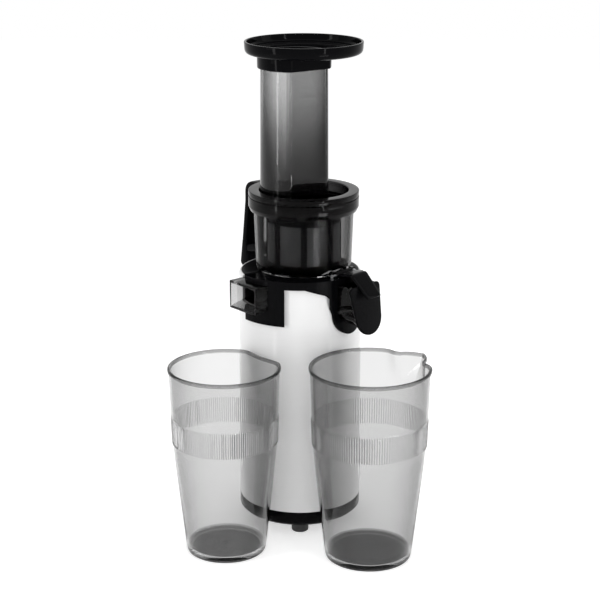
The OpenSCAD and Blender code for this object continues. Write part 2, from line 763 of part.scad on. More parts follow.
// The cap's hinge axis, along the local Z
module at_hinge() towards(juice_az) translate([hinge_r, 0, hinge_z]) rotate([90, 0, 0]) children();
knuckle_r = pin_r + 1.5;
ear_t = 3;
ear_gap = 0.4;
module hinge_ears() towards(juice_az) for (s = [-1, 1])
    translate([0, ear_t / 2 + s * (lever_w / 2 + ear_t / 2 + ear_gap), hinge_z]) rotate([90, 0, 0])
        linear_extrude(ear_t) {
            translate([hinge_r, 0]) circle(r = knuckle_r);
            translate([bowl_r_low - 2 * knuckle_r, -knuckle_r])
                square([hinge_r - bowl_r_low + 2 * knuckle_r, 2 * knuckle_r]);
        }
module cap_hinge_pin() color(STEEL) at_drive() at_hinge()
    cylinder(r = pin_r, h = lever_w + 2 * (ear_t + ear_gap) + 1, center = true);

arch_left = 12.2;
arch_up = 3.3;
arch_z = seat_z - arch_up;
apron_left = 56;
band_right = 74;
band_start = 10;
slope_from = 3.7;
slope_to = 19.6;
slope_drop = 5.2;
corner_w = 3.4;
corner_drop = 3;
shield_r = 18;
shield_y = 2.5;
shield_flare = 5.8;
shield_rise = 15;
shield_low = seat_z - apron_drop - 10.5;
// Window between the aprons, seen from the front; its top falls towards the right
module arch_window() rotate([90, 0, 0]) linear_extrude(2 * skirt_r)
    polygon([[-arch_left, 0], [-arch_left, arch_z], [slope_from, arch_z], [slope_to, arch_z - slope_drop],
        [slope_to + corner_w, arch_z - slope_drop - corner_drop], [slope_to + corner_w, 0]]);
// Right apron, seen from the front of the juice outlet: a shield with a round bottom
module shield_shape() {
    mid = shield_low + shield_r;
    wide = shield_r + shield_flare;
    translate([shield_y, mid]) circle(r = shield_r);
    translate([shield_y, 0]) polygon([[-shield_r, mid], [shield_r, mid], [wide, mid + shield_rise],
        [wide, seat_z], [-wide, seat_z], [-wide, mid + shield_rise]]);
}
module bowl_skirt() color(BLACK) difference() {
    union() {
        translate([0, 0, seat_z - apron_drop])
            slice(skirt_r, skirt_top - seat_z + apron_drop, -90 - apron_left, -90);
        translate([0, 0, arch_z - slope_drop - corner_drop])
            slice(skirt_r, skirt_top - arch_z + slope_drop + corner_drop, -90 - band_start, -90 + band_right);
        intersection() {
            translate([0, 0, shield_low - 1]) cylinder(r = skirt_r, h = seat_z - shield_low);
            towards(juice_az) rotate([90, 0, 90]) linear_extrude(2 * skirt_r) shield_shape();
        }
    }
    cylinder(r = skirt_in, h = bowl_z);
    arch_window();
    at_drive(bowl_z) cylinder(r = bowl_r_low, h = bowl_h);
    at_drive() pulp_block(0, 5, bowl_z);
    at_drive() juice_block(0, 5, bowl_z);
    at_drive() towards(juice_az)
        translate([0, -pocket_half, bowl_z - 1]) cube([hinge_r + knuckle_r + 1, 2 * pocket_half, seat_z]);
}
// Pocket in the skirt's flange for the hinge ears and the lever's knuckle
pocket_half = lever_w / 2 + ear_gap + ear_t + 1;

function arc(cx, cz, r, a, b, n) =
    [for (k = [0 : n]) let (t = a + (b - a) * k / n) [cx + r * cos(t), cz + r * sin(t)]];
grip_h = 63;
grip_top = seat_z + grip_h;
grip_r = 13;
grip_in_r = 6;
arm_z = seat_z + 38;
arm_h = 9;
arm_gap = 1;
neck_r = 10;
heel_r = 6;
heel_out = 6.5;
heel_z = seat_z - 6;
lean_out = 3.6;
lean_up = 10;
low_up = 3;
low_h = 8;
toe_r = 5;
// Side view of the handle, from its arm under the lid, over the grip and down to its arm above the seat
module handle_side() {
    out = lid_r + handle_out;
    inn = out - handle_t;
    side = lid_r + arm_gap;
    low = seat_z + low_up;
    heel = out + heel_out - heel_r;
    polygon(concat(
        [[bowl_r_low - bowl_wall, arm_z], [bowl_r_low - bowl_wall, arm_z + arm_h], [side, arm_z + arm_h]],
        arc(side + neck_r, grip_top - neck_r, neck_r, 180, 90, 6),
        arc(out - grip_r, grip_top - grip_r, grip_r, 90, 0, 8),
        [[out + lean_out, seat_z + lean_up]],
        arc(heel, heel_z, heel_r, 10, -180, 16),
        [[heel - heel_r, low - 2], [heel - heel_r - 2, low], [bowl_r_low - bowl_wall, low],
            [bowl_r_low - bowl_wall, low + low_h]],
        arc(inn + lean_out / 2 - toe_r, low + low_h + toe_r, toe_r, -90, 0, 5),
        arc(inn - grip_in_r, grip_top - handle_t - grip_in_r, grip_in_r, 0, 90, 6),
        [[side + neck_r, grip_top - handle_t], [side + handle_t, grip_top - 2 * handle_t],
            [side + handle_t, arm_z + handle_t], [side + 1, arm_z]]));
}
module bowl_handle() color(BLACK) at_drive() difference() {
    towards(-handle_az) translate([0, handle_w / 2, 0]) rotate([90, 0, 0])
        linear_extrude(handle_w) handle_side();
    translate([0, 0, bowl_z]) bowl_outer();
}

module bowl_seal() color([0.6, 0.6, 0.6]) at_drive(bowl_z) difference() {
    union() {
        cylinder(r = hub_hole_r, h = bowl_floor);
        translate([0, 0, bowl_floor]) cylinder(r = hub_hole_r + 1, h = lip_up);
    }
    translate([0, 0, -1]) cylinder(r = hub_r + hub_play, h = 3 * bowl_floor);
}

// Strainer ------------------------------------------------------------------------------------
strainer_t = 2;
WINDOWS = 8;
rib_w = 5;
band = 6;
module strainer_window(r_in, r_out, play) {
    difference() {
        translate([0, 0, floor_top + band + play]) ring(r_out, r_in, strainer_h - 2 * band - 2 * play);
        for (i = [0 : WINDOWS - 1]) rotate(i * 360 / WINDOWS) translate([0, -rib_w / 2 - play, 0])
            cube([2 * strainer_r, rib_w + 2 * play, 2 * seat_z]);
    }
}
mesh_in = 1.2;
mesh_t = 0.4;
module strainer_frame() color([0.1, 0.1, 0.1]) at_drive() difference() {
    translate([0, 0, floor_top]) ring(strainer_r, strainer_r - strainer_t, strainer_h);
    strainer_window(strainer_r - strainer_t - 1, strainer_r + 1, 0);
}
module strainer_mesh() color(STEEL) at_drive()
    strainer_window(strainer_r - mesh_in, strainer_r - mesh_in + mesh_t, 0);

// Auger ---------------------------------------------------------------------------------------
flight_t = 3.6;
flight_turn = 300;
flight_dip = 0.3;
pin_gap = 1.5;
socket_wall = 1.8;
module auger_core() color([0.12, 0.12, 0.13]) at_drive(auger_z) difference() {
    union() {
        cylinder(r1 = core_r, r2 = core_r * auger_taper, h = auger_h);
        cylinder(r = pin_top_r, h = auger_top - auger_z);
    }
    translate([0, 0, -1]) cylinder(r = socket_r, h = socket_h + 1);
}
auger_top = plate_z - pin_gap;
module auger_flights() color([0.14, 0.14, 0.15]) at_drive(auger_z)
    linear_extrude(auger_h, twist = -flight_turn, scale = auger_taper, slices = 48, segments = 24)
    difference() {
        for (a = [0, 180]) rotate(a) translate([0, -flight_t / 2]) square([flight_r, flight_t]);
        circle(r = core_r - flight_dip, $fn = 32);
    }
socket_r = hex_r + socket_wall;
socket_h = hex_h - 2;
module auger_socket() color(STEEL) at_drive(auger_z) difference() {
    cylinder(r = socket_r, h = socket_h);
    translate([0, 0, -1]) cylinder(r = hex_r + slip_gap / 2, h = socket_h - 0.5, $fn = 6);
}

// Juice cap -----------------------------------------------------------------------------------
cap_gap = 0.3;
cap_drop = 25;
module at_mouth() at_drive() towards(juice_az)
    translate([juice_reach, 0, juice_high]) rotate([0, -juice_lean, 0]) children();
module cap_shape(w, r, drop) rotate([90, 0, 90]) linear_extrude(cap_t) {
    translate([0, -drop]) circle(r = r);
    polygon([[-r, -drop], [r, -drop], [w / 2, 0], [-w / 2, 0]]);
}
module juice_cap() color(BLACK) at_mouth() translate([cap_gap, 0, 0]) cap_shape(cap_w, cap_r, cap_drop);
seal_drop = 7;
seal_in = 3.5;
seal_up = 12;
module cap_seal() color([0.3, 0.3, 0.3]) at_mouth()
    translate([cap_gap - cap_t, 0, -seal_drop])
        cap_shape(juice_w - 2 * seal_in, juice_w / 2 - seal_in - 1.5, cap_drop - seal_up);
lever_over = 0.6;
lever_t = 2.2;
fold_back = 3;
fold_up = 7.5;
tip_out = 13.1;
tip_down = 7.5;
rear_up = 6;
// A point of the tilted mouth plane, as radius and height
function mouth(x, z) = [juice_reach + x * cos(juice_lean) - z * sin(juice_lean),
    juice_high + x * sin(juice_lean) + z * cos(juice_lean)];
// Side view: level over the skirt, folded down over the cap's top edge, and on into a thumb tab
module cap_lever() color(BLACK) at_drive() towards(juice_az)
    translate([0, lever_w / 2, 0]) rotate([90, 0, 0]) linear_extrude(lever_w) difference() {
        fold = [juice_reach - fold_back, skirt_top + rear_up - 1.5];
        tip = [juice_reach + tip_out, juice_high - tip_down];
        slant = (tip - fold) / norm(tip - fold);
        under = lever_t * [slant[1], -slant[0]];
        union() {
            translate([hinge_r, hinge_z]) circle(r = knuckle_r);
            polygon([[hinge_r, hinge_z - knuckle_r], [hinge_r + knuckle_r, skirt_top + lever_over],
                [juice_reach - 2 * fold_back, skirt_top + lever_over],
                mouth(cap_gap, 0), mouth(cap_gap + cap_t, 0),
                tip + under, tip, fold, [hinge_r, hinge_z + knuckle_r]]);
        }
        translate([hinge_r, hinge_z]) circle(r = pin_r + run_gap);
    }

// Lid and chute -------------------------------------------------------------------------------
tab_h = 1.8;
bush_r = pin_top_r + 2;
boss_drop = 8;
RIBS = 3;
rib_h = 5;
rib_t = 2.4;
rim_gap = 0.3;
module lid() color(SMOKE) at_drive() difference() {
    union() {
        difference() {
            translate([0, 0, lid_z]) lid_outer();
            translate([0, 0, lid_z - 1]) ring(lid_skirt_in, lid_spigot_r, rim_z + rim_gap - lid_z + 1);
            translate([0, 0, lid_z - 1]) cylinder(r = lid_spigot_r - spigot_t, h = plate_z - lid_z + 1);
            translate([0, 0, lid_top - lid_recess]) cylinder(r = lid_r - lid_land, h = 2 * lid_recess);
            chute_place() translate([0, 0, plate_z - 1]) linear_extrude(lid_h) chute_shape(0);
        }
        for (i = [0 : 2]) rotate(i * 120 + lug_arc / 2 + lid_turn) translate([0, 0, lid_z]) difference() {
            slice(lid_skirt_in + lid_wall / 2, tab_h, -lug_arc / 2, lug_arc / 2);
            translate([0, 0, -1]) cylinder(r = tab_r, h = lid_h);
        }
        translate([0, 0, plate_z - boss_drop]) cylinder(r = bush_r + 2, h = boss_drop);
        for (i = [0 : RIBS - 1]) rotate(i * 360 / RIBS + 90)
            translate([0, -rib_t / 2, plate_z - rib_h]) cube([lid_spigot_r - 1, rib_t, rib_h]);
    }
    translate([0, 0, plate_z - boss_drop - 1]) cylinder(r = bush_r, h = boss_drop);
}
lid_draft = 2;
lid_bevel = 1;
groove_down = 4.6;
groove_deep = 0.7;
groove_h = 0.9;
module lid_outer() difference() {
    union() {
        translate([0, 0, lid_draft]) cylinder(r = lid_r, h = lid_h - lid_draft - lid_bevel);
        cylinder(r1 = lid_r - lid_bevel, r2 = lid_r, h = lid_draft);
        translate([0, 0, lid_h - lid_bevel]) cylinder(r1 = lid_r, r2 = lid_r - lid_bevel, h = lid_bevel);
    }
    translate([0, 0, lid_h - groove_down]) ring(lid_r + 1, lid_r - groove_deep, groove_h);
}
lid_seal_h = 3;
lid_seal_z = rim_z - 4.5;
lid_seal_gap = 0.15;
function bowl_in(z) = bowl_in_low + (bowl_in_top - bowl_in_low) * (z - floor_top) / (bowl_h - bowl_floor);
module lid_seal() color([0.5, 0.5, 0.5]) at_drive(lid_seal_z)
    ring(bowl_in(lid_seal_z) - lid_seal_gap, lid_spigot_r + run_gap, lid_seal_h);
module auger_bush() color([0.85, 0.85, 0.85]) at_drive(plate_z - boss_drop)
    ring(bush_r, pin_top_r + run_gap, boss_drop - 1);
// The chute's own axis stands left of the drive axis
module chute_place() translate([-chute_off, 0, 0]) children();
module chute_shape(grow) intersection() {
    circle(r = chute_r + grow);
    rotate(chute_az - 90) translate([-2 * chute_r, -2 * chute_r])
        square([2 * chute_r + chute_flat + grow, 4 * chute_r]);
}
module chute_tube(z, h, out, in) at_drive(z) chute_place() linear_extrude(h) difference() {
    chute_shape(out);
    chute_shape(in);
}
module feed_chute() color(SMOKE) chute_tube(plate_z, chute_top - plate_z, 0, -chute_wall);

// Hopper tray ---------------------------------------------------------------------------------
tray_round = 5;
tray_floor = 1.8;
module tray_side(inset, top) {
    r = tray_r - inset;
    k = tray_round - inset;
    translate([0, inset]) square([r - k, top]);
    translate([0, inset + k]) square([r, top]);
    translate([r - k, inset + k]) circle(r = k);
}
module hopper_tray() color(BLACK) at_drive(tray_z) difference() {
    rotate_extrude() intersection() {
        tray_side(0, 2 * tray_h);
        square([2 * tray_r, tray_h]);
    }
    rotate_extrude() intersection() {
        tray_side(tray_wall, 2 * tray_h);
        translate([0, tray_floor]) square([2 * tray_r, 2 * tray_h]);
    }
    chute_place() translate([0, 0, -1]) linear_extrude(tray_h) chute_shape(-chute_wall);
}
module tray_collar() color(BLACK)
    chute_tube(tray_z - collar_h, collar_h, slip_gap / 2 + collar_wall, slip_gap / 2);

// Cups ----------------------------------------------------------------------------------------
pulp_cup_az = 39.8;
pulp_cup_gap = 3.3;
pulp_cup_turn = 9.2;
juice_cup_az = 33.1;
juice_cup_gap = 1.9;
spout_dir = 36;
function beside(d, az) = [d * sin(az), -d * cos(az)];
pulp_cup_at = beside(body_r + pulp_cup_r - cup_flat + pulp_cup_gap, -pulp_cup_az);
juice_cup_at = beside(body_r + juice_cup_r + juice_cup_gap, juice_cup_az);
pulp_flat_dir = 90 - pulp_cup_az - pulp_cup_turn;
spout_arc = 21;
spout_tip_r = 2;
spout_drop = 30;
flat_fade = 4;
cup_heel = 4.5;
cup_floor = 4.5;
lip_h = 3;
lip_out = 1;
band_z = 0.6;
band_share = 0.83;
band_out = 0.5;
function cup_knee(r, base) = base + (r - lip_out - base) * band_share;
function cup_side(r, base, h, inset) =
    let (low = inset ? cup_floor : 0, top = inset ? h + 1 : h)
    [[0, low], [base - cup_heel, low], [base - cup_heel / 3 - inset, low + cup_heel / 3],
        [base - inset, low + cup_heel],
        [cup_knee(r, base) - inset, band_z * h], [r - lip_out - inset, h - lip_h], [r - lip_out - inset, top],
        [0, top]];
module cup_body(r, base, h, inset) {
    rotate_extrude() polygon(cup_side(r, base, h, inset));
    if (inset == 0) {
        translate([0, 0, band_z * h]) cylinder(r = cup_knee(r, base) + band_out, h = band_h);
        translate([0, 0, h - lip_h]) cylinder(r = r, h = lip_h);
    }
}
module cup_flat_side(r, h, inset) translate([0, 2 * r, 0]) rotate([90, 0, 0]) linear_extrude(4 * r) {
    x = r - cup_flat - inset;
    polygon([[-2 * r, -h], [x + 2 * h * tan(flat_fade), -h],
        [x - h * tan(flat_fade), 2 * h], [-2 * r, 2 * h]]);
}
// Wedge seen from above, cut by a slanted side view that runs out on the cup's wall
module cup_spout(r, h, inset) intersection() {
    foot = h - spout_drop;
    reach = spout_reach - inset;
    side = r * sin(spout_arc) - inset;
    tip = spout_tip_r - inset / 2;
    translate([0, 0, foot]) linear_extrude(2 * spout_drop)
        polygon([[0, -side], [r * cos(spout_arc), -side], [reach, -tip], [reach, tip],
            [r * cos(spout_arc), side], [0, side]]);
    translate([0, r, 0]) rotate([90, 0, 0]) linear_extrude(2 * r)
        polygon([[0, foot], [r - 2 * lip_out - inset, foot], [reach, h], [reach, h + inset], [0, h + inset]]);
}
module pulp_cup() color(SMOKE) translate(pulp_cup_at) rotate(pulp_flat_dir) difference() {
    intersection() {
        cup_body(pulp_cup_r, pulp_base_r, pulp_cup_h, 0);
        cup_flat_side(pulp_cup_r, pulp_cup_h, 0);
    }
    intersection() {
        cup_body(pulp_cup_r, pulp_base_r, pulp_cup_h, cup_wall);
        cup_flat_side(pulp_cup_r, pulp_cup_h, cup_wall);
    }
}
module juice_cup() color(SMOKE) translate(juice_cup_at) rotate(spout_dir) difference() {
    union() {
        cup_body(juice_cup_r, juice_base_r, juice_cup_h, 0);
        cup_spout(juice_cup_r, juice_cup_h, 0);
    }
    cup_body(juice_cup_r, juice_base_r, juice_cup_h, cup_wall);
    cup_spout(juice_cup_r, juice_cup_h, cup_wall);
}

motor_housing();
top_deck();
base_cover();
rubber_feet();
base_screws();
shaft_seal();
cord_gland();
switch_frame();
rocker_switch();
interlock_switch();
interlock_plunger();
control_board();
motor_can();
motor_magnets();
brush_cap();
motor_brushes();
lower_bearing();
upper_bearing();
armature_core();
motor_shaft();
commutator();
sun_gear();
mounting_plate();
ring_gear();
gearbox_cover();
gearbox_screws();
output_bearing();
first_carrier();
first_planet_a();
first_planet_b();
first_planet_c();
drive_shaft();
last_planet_a();
last_planet_b();
last_planet_c();
juicing_bowl();
pulp_outlet();
juice_outlet();
bowl_skirt();
bowl_handle();
bowl_seal();
strainer_frame();
strainer_mesh();
cap_hinge_pin();
auger_core();
auger_flights();
auger_socket();
juice_cap();
cap_lever();
cap_seal();
lid_seal();
lid();
feed_chute();
auger_bush();
hopper_tray();
tray_collar();
pulp_cup();
juice_cup();
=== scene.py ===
# %% [markdown]
# # Compact vertical juicer
#
# The juicer's working parts, their sizes and their joints come from an exact CAD model. This script
# dresses that model. It loads it as a fixed frame, gives each part a finish, and builds the rounded
# shapes, such as the cups, the tray and the lid, as numpy surfaces in the same frame. Sizes are in
# millimetres and are turned into metres where a mesh is made. +Z is up and -Y is the front.

# %% Load the frame
import json
import math

import bmesh
import bpy
import numpy as np
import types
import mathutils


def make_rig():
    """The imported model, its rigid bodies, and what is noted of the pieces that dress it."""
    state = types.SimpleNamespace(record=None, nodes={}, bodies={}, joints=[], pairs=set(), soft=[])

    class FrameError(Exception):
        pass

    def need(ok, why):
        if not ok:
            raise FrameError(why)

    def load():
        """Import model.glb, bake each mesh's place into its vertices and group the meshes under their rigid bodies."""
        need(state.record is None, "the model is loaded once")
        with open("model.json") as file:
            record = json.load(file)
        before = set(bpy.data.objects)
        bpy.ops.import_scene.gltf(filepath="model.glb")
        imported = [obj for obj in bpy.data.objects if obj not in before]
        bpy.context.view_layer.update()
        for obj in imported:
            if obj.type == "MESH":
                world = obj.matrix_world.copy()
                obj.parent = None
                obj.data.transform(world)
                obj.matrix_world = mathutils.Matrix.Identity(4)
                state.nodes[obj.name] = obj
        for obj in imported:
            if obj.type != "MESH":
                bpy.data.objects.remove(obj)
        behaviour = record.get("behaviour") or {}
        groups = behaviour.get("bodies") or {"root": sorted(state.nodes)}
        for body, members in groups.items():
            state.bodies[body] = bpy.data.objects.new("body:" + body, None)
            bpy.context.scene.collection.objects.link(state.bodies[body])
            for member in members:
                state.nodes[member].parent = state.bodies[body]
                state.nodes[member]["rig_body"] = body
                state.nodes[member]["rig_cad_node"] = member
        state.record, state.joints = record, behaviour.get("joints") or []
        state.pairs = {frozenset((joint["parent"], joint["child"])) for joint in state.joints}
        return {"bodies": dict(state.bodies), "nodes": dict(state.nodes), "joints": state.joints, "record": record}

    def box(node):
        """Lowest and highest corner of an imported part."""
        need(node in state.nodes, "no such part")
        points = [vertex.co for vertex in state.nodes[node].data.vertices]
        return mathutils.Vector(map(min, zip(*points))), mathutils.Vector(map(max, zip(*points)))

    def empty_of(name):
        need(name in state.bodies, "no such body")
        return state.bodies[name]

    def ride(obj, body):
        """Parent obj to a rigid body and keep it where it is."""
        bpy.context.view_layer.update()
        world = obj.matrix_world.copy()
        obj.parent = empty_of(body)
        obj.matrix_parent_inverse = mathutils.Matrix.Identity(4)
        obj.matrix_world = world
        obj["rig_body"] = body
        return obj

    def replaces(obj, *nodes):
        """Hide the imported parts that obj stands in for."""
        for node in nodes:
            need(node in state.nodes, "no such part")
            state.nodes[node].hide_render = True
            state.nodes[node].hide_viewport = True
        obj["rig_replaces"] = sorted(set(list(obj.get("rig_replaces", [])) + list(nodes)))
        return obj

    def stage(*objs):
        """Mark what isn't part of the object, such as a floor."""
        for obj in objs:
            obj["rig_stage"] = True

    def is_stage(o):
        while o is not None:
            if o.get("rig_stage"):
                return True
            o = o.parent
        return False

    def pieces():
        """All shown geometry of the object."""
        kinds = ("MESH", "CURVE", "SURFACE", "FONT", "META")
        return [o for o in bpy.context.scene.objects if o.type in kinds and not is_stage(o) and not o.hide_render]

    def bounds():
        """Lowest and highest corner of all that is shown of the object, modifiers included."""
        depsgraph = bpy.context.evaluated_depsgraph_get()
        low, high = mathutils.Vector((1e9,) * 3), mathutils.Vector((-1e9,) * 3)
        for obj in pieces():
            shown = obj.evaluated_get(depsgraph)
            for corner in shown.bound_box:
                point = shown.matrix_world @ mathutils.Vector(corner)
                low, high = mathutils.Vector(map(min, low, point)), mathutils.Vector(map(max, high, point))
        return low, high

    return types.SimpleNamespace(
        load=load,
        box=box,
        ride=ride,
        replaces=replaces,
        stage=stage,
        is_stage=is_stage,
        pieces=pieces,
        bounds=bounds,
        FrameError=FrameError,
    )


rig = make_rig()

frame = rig.load()
NODES = frame["nodes"]
MM = 0.001
CAD_LOW, CAD_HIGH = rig.bounds()
scene = bpy.context.scene
print("frame loaded:", len(NODES), "nodes on", len(frame["bodies"]), "bodies")

# %% [markdown]
# ## Camera
#
# Product cameras stand well back, so that a tall thing keeps its proportions. A long lens from 1.25 m
# away, tipped down by 17 degrees, shows the tops of the cups and still a little of the tray's inside.

# %% Camera
CAMERA_PLACE = (0.0, -1.2519, 0.56125)
CAMERA_PITCH = 16.7
camera = bpy.data.objects.new("camera", bpy.data.cameras.new("camera"))
scene.collection.objects.link(camera)
camera.location = CAMERA_PLACE
camera.rotation_euler = (math.radians(90 - CAMERA_PITCH), 0, 0)
camera.data.sensor_width = 36
camera.data.lens = 96.52
scene.camera = camera
scene.view_settings.view_transform = "Standard"
print("camera at", CAMERA_PLACE, "lens", round(camera.data.lens, 2), "mm")


# %% A short way to write node trees
def node_tree(owner):
    """Clears the node tree of a world or material, and returns it with a function that adds a node.
    An input is a number or colour, or the output socket that feeds it."""
    owner.use_nodes = True
    tree = owner.node_tree
    tree.nodes.clear()

    def add(kind, inputs=(), **settings):
        node = tree.nodes.new("ShaderNode" + kind)
        for key, value in settings.items():
            setattr(node, key, value)
        for key, value in dict(inputs).items():
            if isinstance(value, bpy.types.NodeSocket):
                tree.links.new(value, node.inputs[key])
            else:
                node.inputs[key].default_value = value
        return node

    return tree, add


print("node tree helper ready")

# %% [markdown]
# ## Light
#
# Clear smoke plastic shows what stands behind it, and black gloss shows what stands around it. So the
# world is pure white where the camera looks past the juicer, through a clear wall or by a reflection,
# and half as strong as a light. A few large soft lamps draw the long highlights. The world could also
# be an image of a studio, but plain lamps are easier to place.

# %% World
SURROUND = 0.5
world = bpy.data.worlds.new("studio")
scene.world = world
tree, add = node_tree(world)
ray = add("LightPath")
seen = add("Math", {0: ray.outputs["Is Camera Ray"], 1: ray.outputs["Is Transmission Ray"]},
           operation="MAXIMUM")
seen = add("Math", {0: seen.outputs[0], 1: ray.outputs["Is Glossy Ray"]}, operation="MAXIMUM")
strength = add("MapRange", {"Value": seen.outputs[0], "To Min": SURROUND, "To Max": 1.0})
sky = add("Background", {"Color": (1, 1, 1, 1), "Strength": strength.outputs[0]})
add("OutputWorld", {"Surface": sky.outputs[0]})
print("surround light", SURROUND)


# %% Floor
def floor_finish():
    """A matt white that also glows evenly, so that it meets the background without an edge and keeps
    the soft shadow of what stands on it."""
    made = bpy.data.materials.new("studio_floor")
    tree, add = node_tree(made)
    grain = add("TexNoise", {"Scale": 3.0})
    tone = add("MapRange", {"Value": grain.outputs["Fac"], "To Min": 0.79, "To Max": 0.81})
    matt = add("BsdfDiffuse", {"Color": tone.outputs[0]})
    even = add("Emission", {"Strength": 0.6})
    both = add("AddShader", {0: matt.outputs[0], 1: even.outputs[0]})
    add("OutputMaterial", {"Surface": both.outputs[0]})
    return made


def lay_floor(half=3.0):
    """A flat square, 2 x half metres wide, at the height that the juicer stands on."""
    corners = half * np.array([(-1, -1, 0), (1, -1, 0), (1, 1, 0), (-1, 1, 0)])
    mesh = bpy.data.meshes.new("floor")
    mesh.from_pydata(corners.tolist(), [], [(0, 1, 2, 3)])
    mesh.materials.append(floor_finish())
    floor = bpy.data.objects.new("floor", mesh)
    scene.collection.objects.link(floor)
    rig.stage(floor)


lay_floor()
print("floor laid")


# %% Lamps
def lamp(name, place, target, size, power):
    """An area lamp at place that faces target, with its width and height, all in metres."""
    light = bpy.data.lights.new(name, "AREA")
    light.shape, light.energy = "RECTANGLE", power
    light.size, light.size_y = size
    made = bpy.data.objects.new(name, light)
    aim = np.subtract(target, place)
    made.location = place
    made.rotation_euler = (math.atan2(math.hypot(aim[0], aim[1]), -aim[2]), 0,
                           math.atan2(aim[0], -aim[1]) + math.pi)
    scene.collection.objects.link(made)
    return made


MIDDLE = (0, 0, 0.2)
lamp("left_wall", (-1.1, -0.5, 0.7), MIDDLE, (0.5, 1.2), 2)
lamp("right_wall", (1.1, -0.1, 0.8), MIDDLE, (0.5, 1.2), 3)
lamp("ceiling", (0, 0.1, 1.7), MIDDLE, (1.2, 1.0), 4.4)
lamp("left_strip", (-1.0, -0.62, 0.5), MIDDLE, (0.12, 1.2), 3.5)
lamp("right_strip", (0.8, -0.95, 0.5), MIDDLE, (0.06, 1.2), 3)
lamp("low_glow", (0.51, -0.61, 0.05), (0, 0, 0.2), (0.26, 0.08), 0.7)
print("lamps", [o.name for o in scene.objects if o.type == "LIGHT"])

# %% [markdown]
# ## Finishes
#
# Moulded plastic is never one flat colour. Gloss has a faint ripple from the tool, satin has a fine
# spark-eroded grain, and steel is drawn along one way. Each finish takes its pattern from Object
# coordinates, so it keeps still on the part however the part is turned or exported. The two blacks
# have a far fainter gloss than real plastic, because the white surround would turn them grey, and the
# smoke plastics bend light less than real ones. Other light may want both raised.


# %% Finish builder
def finish(name, colour, roughness, metallic=0.0, grain=(400, 0.02), stretch=(1, 1, 1), tone=0.06,
           spread=0.08, bump=0.1, **sockets):
    """Noise with grain[0] spots a metre, stretched along the axes, shifts the colour by the share
    tone and the roughness by spread, and raises the surface by grain[1] millimetres."""
    made = bpy.data.materials.new(name)
    tree, add = node_tree(made)
    place = add("TexCoord")
    fitted = add("Mapping", {"Vector": place.outputs["Object"], "Scale": stretch})
    noise = add("TexNoise", {"Vector": fitted.outputs[0], "Scale": grain[0], "Detail": 4.0, "Roughness": 0.6})
    cloud = add("TexNoise", {"Vector": place.outputs["Object"], "Scale": 18.0, "Detail": 2.0})
    mixed = add("Math", {0: noise.outputs["Fac"], 1: cloud.outputs["Fac"]}, operation="ADD")
    shade = add("MapRange", {"Value": mixed.outputs[0], "From Min": 0.6, "From Max": 1.4,
                             "To Min": 1 - tone, "To Max": 1 + tone})
    tinted = add("Mix", {"Factor": 1.0, 6: (*colour, 1), 7: shade.outputs[0]}, data_type="RGBA",
                 blend_type="MULTIPLY")
    rough = add("MapRange", {"Value": noise.outputs["Fac"], "From Min": 0.3, "From Max": 0.7,
                             "To Min": max(roughness - spread, 0.02), "To Max": roughness + spread})
    relief = add("Bump", {"Height": noise.outputs["Fac"], "Strength": bump, "Distance": grain[1] * MM})
    shader = add("BsdfPrincipled", {"Base Color": tinted.outputs[2], "Roughness": rough.outputs[0],
                                    "Normal": relief.outputs[0], "Metallic": metallic, **sockets})
    add("OutputMaterial", {"Surface": shader.outputs[0]})
    return made


# %% Plastics and metals
FAINT_GLOSS = {"Specular IOR Level": 0.035}
FINISH = {
    "white_plastic": finish("white_coat", (0.84, 0.84, 0.84), 0.36, grain=(900, 0.02),
                            stretch=(0.06, 0.06, 1.0), tone=0.015, bump=0.25),
    "black_gloss": finish("black_gloss", (0.002, 0.002, 0.0025), 0.08, grain=(120, 0.03), tone=0.2,
                          spread=0.03, **FAINT_GLOSS),
    "black_satin": finish("black_satin", (0.003, 0.003, 0.0035), 0.3, grain=(1500, 0.01), tone=0.06,
                          bump=0.1, **FAINT_GLOSS),
    "rubber": finish("rubber", (0.02, 0.02, 0.02), 0.6, grain=(1200, 0.03), bump=0.3),
    "silicone": finish("silicone", (0.35, 0.35, 0.35), 0.45, grain=(600, 0.02)),
    "steel": finish("brushed_steel", (0.62, 0.63, 0.65), 0.28, metallic=1.0, grain=(900, 0.01),
                    stretch=(0.08, 0.08, 1.0)),
    "bronze": finish("sintered_bronze", (0.55, 0.36, 0.17), 0.35, metallic=1.0, grain=(1500, 0.02)),
    "copper": finish("wound_copper", (0.6, 0.28, 0.13), 0.35, metallic=1.0, grain=(700, 0.05),
                     stretch=(1.0, 1.0, 0.1)),
    "nylon": finish("nylon", (0.74, 0.7, 0.58), 0.45, grain=(500, 0.02)),
    "ferrite": finish("ferrite", (0.06, 0.06, 0.065), 0.6, grain=(1200, 0.04)),
    "carbon": finish("carbon", (0.02, 0.02, 0.02), 0.5, grain=(1500, 0.03)),
    "board": finish("board", (0.02, 0.14, 0.06), 0.4, grain=(250, 0.03), tone=0.15),
}
print("finishes", ", ".join(FINISH))


